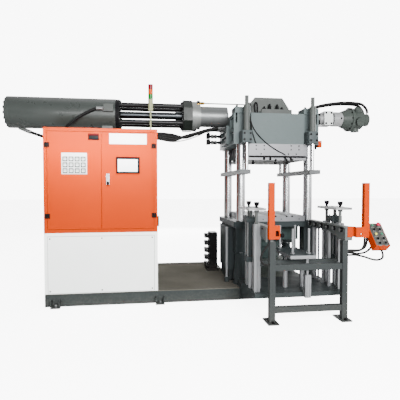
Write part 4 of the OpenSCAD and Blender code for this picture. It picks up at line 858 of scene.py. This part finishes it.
SEAM, SEAM_FRONT = 0.004, -0.5975
PANEL_L, PANEL_R, PANEL_LOW, PANEL_TOP = -2.674, -1.504, 0.155, 0.785
plates("power_panel_seam", "black_steel",
       [((x0, SEAM_FRONT, z0), (x1, CABINET_FRONT, z1), 0.0, 0) for x0, z0, x1, z1 in (
           (PANEL_L - SEAM, PANEL_TOP, PANEL_R + SEAM, PANEL_TOP + SEAM),
           (PANEL_L - SEAM, PANEL_LOW - SEAM, PANEL_R + SEAM, PANEL_LOW),
           (PANEL_L - SEAM, PANEL_LOW, PANEL_L, PANEL_TOP),
           (PANEL_R, PANEL_LOW, PANEL_R + SEAM, PANEL_TOP))], "seam_dark")
plates("cabinet_side_latch", "black_plastic",
       [((-1.464, -0.592, 0.888), (-1.447, -0.53, 1.004), 0.003, 0)], "black_plastic")


def turned_piece(name, slot, finish, forms, sides=24):
    """One piece of turned forms on the machine's body: each is (place, direction, profile)."""
    bm = bmesh.new()
    for place, direction, profile in forms:
        lathe(bm, profile, sides, 0, facing(place, direction))
    piece(name, to_mesh(name, bm), "machine", slot, finish, smooth=40)


HANDLE_X, HANDLE_FRONT = -2.017, -0.618
LOCK_Z, LOCK_HALF, LOCK_T = (1.362, 1.4), 0.013, 0.003
bm = bmesh.new()
block(bm, (HANDLE_X - LOCK_HALF, HANDLE_FRONT - LOCK_T, LOCK_Z[0]),
      (HANDLE_X + LOCK_HALF, HANDLE_FRONT, LOCK_Z[1]), 0.001)
lathe(bm, [(0.0095, 0.0), (0.0095, 0.004), (0.0075, 0.006)], 24, 0,
      facing((HANDLE_X, HANDLE_FRONT - LOCK_T, sum(LOCK_Z) / 2), FRONT))
piece("handle_lock", to_mesh("handle_lock", bm), "right_door", "black_plastic", "black_plastic", smooth=40)


# Operator box: brushed face, collars, caps and bare label plates

BOX_W, BOX_L, BOX_TILT = 0.15, 0.264, math.radians(50)
BOX_PLACE = Matrix.Translation((0.598, -1.45, 0.973)) @ Matrix.Rotation(BOX_TILT, 4, "X")
COLUMNS = (0.3, 0.7)
ROWS = tuple(0.1 + 0.2 * row for row in range(5))
SELECTOR_ROWS, BUTTON_REACH = (1, 3, 4), 0.025
FACE_RIM, FACE_T = 0.006, 0.002
COLLAR = [(0.0112, 0.0), (0.0148, 0.0), (0.0148, 0.005), (0.0135, 0.0065), (0.0112, 0.0065), (0.0112, 0.0)]
MUSHROOM = [(0.008, 0.0), (0.012, 0.006), (0.02, 0.008), (0.021, 0.014), (0.017, 0.019), (0.008, 0.021)]
BUTTON_COLOURS = {(0, 0): "button_green", (0, 1): "button_red", (2, 0): "button_yellow", (2, 1): "button_green"}


def button_place(row, column):
    return Vector((BOX_W * COLUMNS[column], -BOX_L * ROWS[row], 0.0))


def near_button(row, column):
    place = BOX_PLACE @ button_place(row, column)
    return lambda centre, normal: (centre - place).length < BUTTON_REACH


dress("operator_buttons", "black_plastic",
      [(colour, near_button(*key)) for key, colour in BUTTON_COLOURS.items()])
bm = bmesh.new()
block(bm, (FACE_RIM, -BOX_L + FACE_RIM, 0.0), (BOX_W - FACE_RIM, -FACE_RIM, FACE_T), 0.0008, 0, BOX_PLACE)
for row in range(5):
    for column in range(2):
        spot = button_place(row, column)
        lathe(bm, COLLAR, 24, 1, BOX_PLACE @ Matrix.Translation(spot + Vector((0, 0, FACE_T))))
        block(bm, spot + Vector((-0.016, -0.027, FACE_T)), spot + Vector((0.016, -0.018, 0.003)),
              0.0003, 2, BOX_PLACE)
        if row in SELECTOR_ROWS:
            block(bm, spot + Vector((-0.003, -0.011, 0.014)), spot + Vector((0.003, 0.011, 0.022)),
                  0.002, 3, BOX_PLACE)
red = button_place(0, 1) + Vector((0, 0, 0.012))
lathe(bm, MUSHROOM, 28, 4, BOX_PLACE @ Matrix.Translation(red))
piece("operator_face", to_mesh("operator_face", bm), "machine", "pale_steel",
      "brushed_face", "zinc_screw", "label_grey", "black_plastic", "button_red", smooth=40)


# Light-curtain posts: lens strips in the channels, the window and the knob beside the left post

# The two lens strips are darker orange as painted shade of the posts' channels; the window is black plastic
plates("curtain_lenses", "black_plastic",
       [((-0.403, -1.484, 0.97), (-0.399, -1.466, 1.356), 0.0005, 1),
        ((0.566, -1.484, 0.97), (0.570, -1.466, 1.356), 0.0005, 1),
        ((-0.366, -1.4575, 0.8645), (-0.331, -1.4561, 0.9175), 0.0003, 0)], "black_plastic", "orange_painted_shade")
KNOB = [(0.012, 0.0), (0.012, 0.012), (0.021, 0.014), (0.0215, 0.04), (0.018, 0.045)]
turned_piece("window_knob", "black_plastic", "black_plastic", [((-0.322, -1.475, 0.87), RIGHT, KNOB)])


# Thin stays between the shelf and the rails, each with a nut at both ends

STAY_X, STAY_YS, STAY_R, SHELF_TOP, RAIL_UNDER = 0.397, (-0.72, -0.79, -0.9), 0.011, 0.25, 0.87
STAY_H = RAIL_UNDER - SHELF_TOP
STAY_NUT_R = 1.7 * STAY_R
STAY = [(STAY_NUT_R, 0.0), (STAY_NUT_R, 0.016), (STAY_R, 0.018),
        (STAY_R, STAY_H - 0.018), (STAY_NUT_R, STAY_H - 0.016), (STAY_NUT_R, STAY_H)]
turned_piece("rail_stays", "pale_steel", "aluminium",
             [((sx * STAY_X, y, SHELF_TOP), UP, STAY) for sx in SIGNS for y in STAY_YS], 16)


# Press fittings

LIFT_PLATE_HALF, LIFT_PLATE_Z = 0.058, (1.866, 2.008)
plates("lift_block_plates", "grey_paint",
       [((sx * LIFT_X - LIFT_PLATE_HALF, min(sy * LIFT_BLOCK_Y, sy * LIFT_FACE_Y), LIFT_PLATE_Z[0]),
         (sx * LIFT_X + LIFT_PLATE_HALF, max(sy * LIFT_BLOCK_Y, sy * LIFT_FACE_Y), LIFT_PLATE_Z[1]), 0.002, 0)
        for sx in SIGNS for sy in SIGNS], "block_grey")

# Wiper rings on the columns over their feet, and the guard across the back under the platen
WIPER = [(0.0555, 0.0), (0.064, 0.0), (0.064, 0.042), (0.059, 0.049), (0.0555, 0.049), (0.0555, 0.0)]
FOOT_TOP = 0.4802
turned_piece("column_wipers", "dark_paint", "press_grey",
             [((sx * COLUMN_X, sy * COLUMN_Y, FOOT_TOP), UP, WIPER) for sx in SIGNS for sy in SIGNS], 32)
GUARD_HALF, GUARD_Y, GUARD_T, GUARD_TOP, BASE_TOP = 0.368, 0.456, 0.004, 0.51, 0.145
GUARD_LIP, GUARD_FOOT = 0.018, 0.03
plates("rear_guard", "dark_paint",
       [((-GUARD_HALF, GUARD_Y, low), (GUARD_HALF, GUARD_Y + depth, top), 0.001, 0) for depth, low, top in (
           (GUARD_T, BASE_TOP, GUARD_TOP), (GUARD_LIP, GUARD_TOP - 0.012, GUARD_TOP),
           (GUARD_FOOT, BASE_TOP, BASE_TOP + GUARD_T))], "press_grey")
bolts("rear_guard_screws",
      grid((-0.3, -0.1, 0.1, 0.3), (GUARD_Y + GUARD_LIP,), (BASE_TOP + GUARD_T,), UP),
      radius=0.007, height=0.006, sides=12, washer=1.2)

# Dark board between the heating plate and the mould plate, with the clamps that hold the mould plate
plates("mould_seam_strip", "black_steel",
       [((-0.36, BEAM_FRONT - 0.004, 1.7), (0.36, BEAM_FRONT, 1.721), 0.001, 0)], "black_paint")
plates("mould_clamps", "black_steel",
       [((x - 0.011, BEAM_FRONT - 0.009, 1.671), (x + 0.011, BEAM_FRONT, 1.7), 0.002, 0)
        for x in (-0.17, -0.092, 0.097, 0.168)], "black_paint")
HOOK = [(0.010, 0.0), (0.010, 0.016), (0.018, 0.018), (0.019, 0.04), (0.014, 0.05)]
turned_piece("mould_hooks", "black_steel", "black_paint",
             [((x, -0.45, 1.668), DOWN, HOOK) for x in (-0.297, -0.017, 0.134)])
CROWN_FITTINGS = ((-0.072, 0.10), (0.0, 0.135), (0.101, 0.13), (0.162, 0.095))
turned_piece("crown_fittings", "black_steel", "black_paint",
             [((x, -0.168, 2.282), UP, [(0.016, 0.0), (0.016, h * 0.5), (0.021, h * 0.52), (0.021, h * 0.8),
                                        (0.013, h * 0.82), (0.013, h)]) for x, h in CROWN_FITTINGS], 12)
NUT = [(0.016, 0.0), (0.018, 0.002), (0.018, 0.022), (0.015, 0.024)]
GREASE_X, GREASE_PIPE = -0.921, (-0.06, 2.421)
ELBOW = [(0.02, 0.0), (0.022, 0.003), (0.022, 0.03), (0.014, 0.036)]
PIPE_COLLAR = [(0.014, 0.0), (0.022, 0.002), (0.022, 0.012), (0.014, 0.014)]
turned_piece("grease_fittings", "pale_steel", "brass",
             [((GREASE_X, GREASE_PIPE[0], 2.39), UP, NUT)]
             + [((x, *GREASE_PIPE), RIGHT, NUT) for x in (-0.905, -0.865)], 6)
turned_piece("grease_elbows", "black_steel", "black_paint",
             [((GREASE_X, GREASE_PIPE[0], 2.416), UP, ELBOW),
              ((-0.88, *GREASE_PIPE), RIGHT, PIPE_COLLAR)], 16)

# Valves on the two ports beside the barrel's block
PORT_Y, PORT_ZS = 0.195, (2.03, 1.948)
turned_piece("port_nuts", "pale_steel", "zinc_screw",
             [((x, PORT_Y, z), RIGHT, [(0.024, 0.0), (0.03, 0.002), (0.03, 0.026), (0.024, 0.028)])
              for x in (-0.66, -0.71) for z in PORT_ZS], 6)
plates("port_valves", "black_steel",
       [((-0.775, PORT_Y - 0.032, z - 0.03), (-0.725, PORT_Y + 0.032, z + 0.04), 0.004, 0) for z in PORT_ZS]
       + [((-0.765, PORT_Y - 0.03, z + 0.04), (-0.735, PORT_Y, z + 0.052), 0.002, 1) for z in PORT_ZS],
       "black_paint", "zinc_screw")

# Clamp on the feed barrel, between the beam and the feed block
plates("feed_clamp", "black_steel",
       [((0.68, -0.088, FEED_Z - 0.085), (0.735, 0.088, FEED_Z + 0.06), 0.004, 0),
        ((0.69, -0.092, FEED_Z - 0.03), (0.725, -0.086, FEED_Z + 0.03), 0.002, 1)], "black_paint", "zinc_screw")

# Short pipe that bends over the end of the crown
CROWN_PIPE_R = 0.011
CROWN_PIPE = [
    (-214, -236, 2282), (-222, -236, 2340), (-219, -232, 2390), (-203, -222, 2416), (-184, -210, 2405),
    (-176, -204, 2370), (-176, -204, 2282)]
bm = swept(even_steps(smooth_route(CROWN_PIPE), 0.006)[0], CROWN_PIPE_R, 12)
piece("crown_elbow", to_mesh("crown_elbow", bm), "machine", "black_steel", "black_paint", smooth=60)

# Limit switch beside the right lift block, with its plunger
plates("limit_switch", "orange_paint",
       [((0.54, -0.447, 1.836), (0.588, -0.405, 1.918), 0.003, 0),
        ((0.5425, -0.45, 1.8385), (0.5855, -0.447, 1.9155), 0.001, 0),
        ((0.5455, -0.4515, 1.8415), (0.5485, -0.45, 1.8445), 0.0004, 1),
        ((0.5795, -0.4515, 1.9095), (0.5825, -0.45, 1.9125), 0.0004, 1)], "orange_paint", "zinc_screw")
PLUNGER = [(0.02, 0.0), (0.02, 0.03), (0.012, 0.034), (0.012, 0.05), (0.007, 0.056)]
turned_piece("switch_plunger", "black_steel", "black_paint", [((0.512, -0.43, 1.864), DOWN, PLUNGER)])

# Clipped sensor wires on the front of the beam
WIRE_Y, WIRE_R = -497, 0.0065
SENSOR_WIRES = [
    [(-345, 2190), (-342, 2150), (-320, 2075), (-262, 1985), (-172, 1895), (-78, 1825), (18, 1770), (98, 1731)],
    [(-335, 2090), (-325, 2020), (-305, 1950), (-285, 1890), (-275, 1868)]]
for i, wire in enumerate(SENSOR_WIRES):
    route = [(x, WIRE_Y, z) for x, z in wire]
    bm = swept(even_steps(smooth_route(route), 0.012)[0], WIRE_R, 8)
    piece(f"sensor_wire_{i + 1}", to_mesh("sensor_wire", bm), "machine", "hose_rubber", "rubber", smooth=60)


# Hose ends: a hexagon nut on each hose and, where there is room inside the machine's box, a crimped sleeve

NUT_SHARE, SLEEVE_FROM = 1.4, 1.3
bm = bmesh.new()
for end, along, d in hose_ends:
    r = d / 2
    place = facing(end, along)
    nut = min(NUT_SHARE * r, cad_box[1][0] - end.x)
    if nut > SLEEVE_FROM * r:
        lathe(bm, [(r * 0.9, 0.012), (r * 1.2, 0.014), (r * 1.26, 0.05), (r * 1.2, 0.086), (r * 0.9, 0.088)],
              20, 0, place)
    lathe(bm, [(r * 0.9, 0.0), (nut, 0.001), (nut, 0.016), (r * 0.9, 0.018)], 6, 0, place)
piece("hose_ends", to_mesh("hose_ends", bm), "machine", "pale_steel", "zinc_screw", smooth=40)
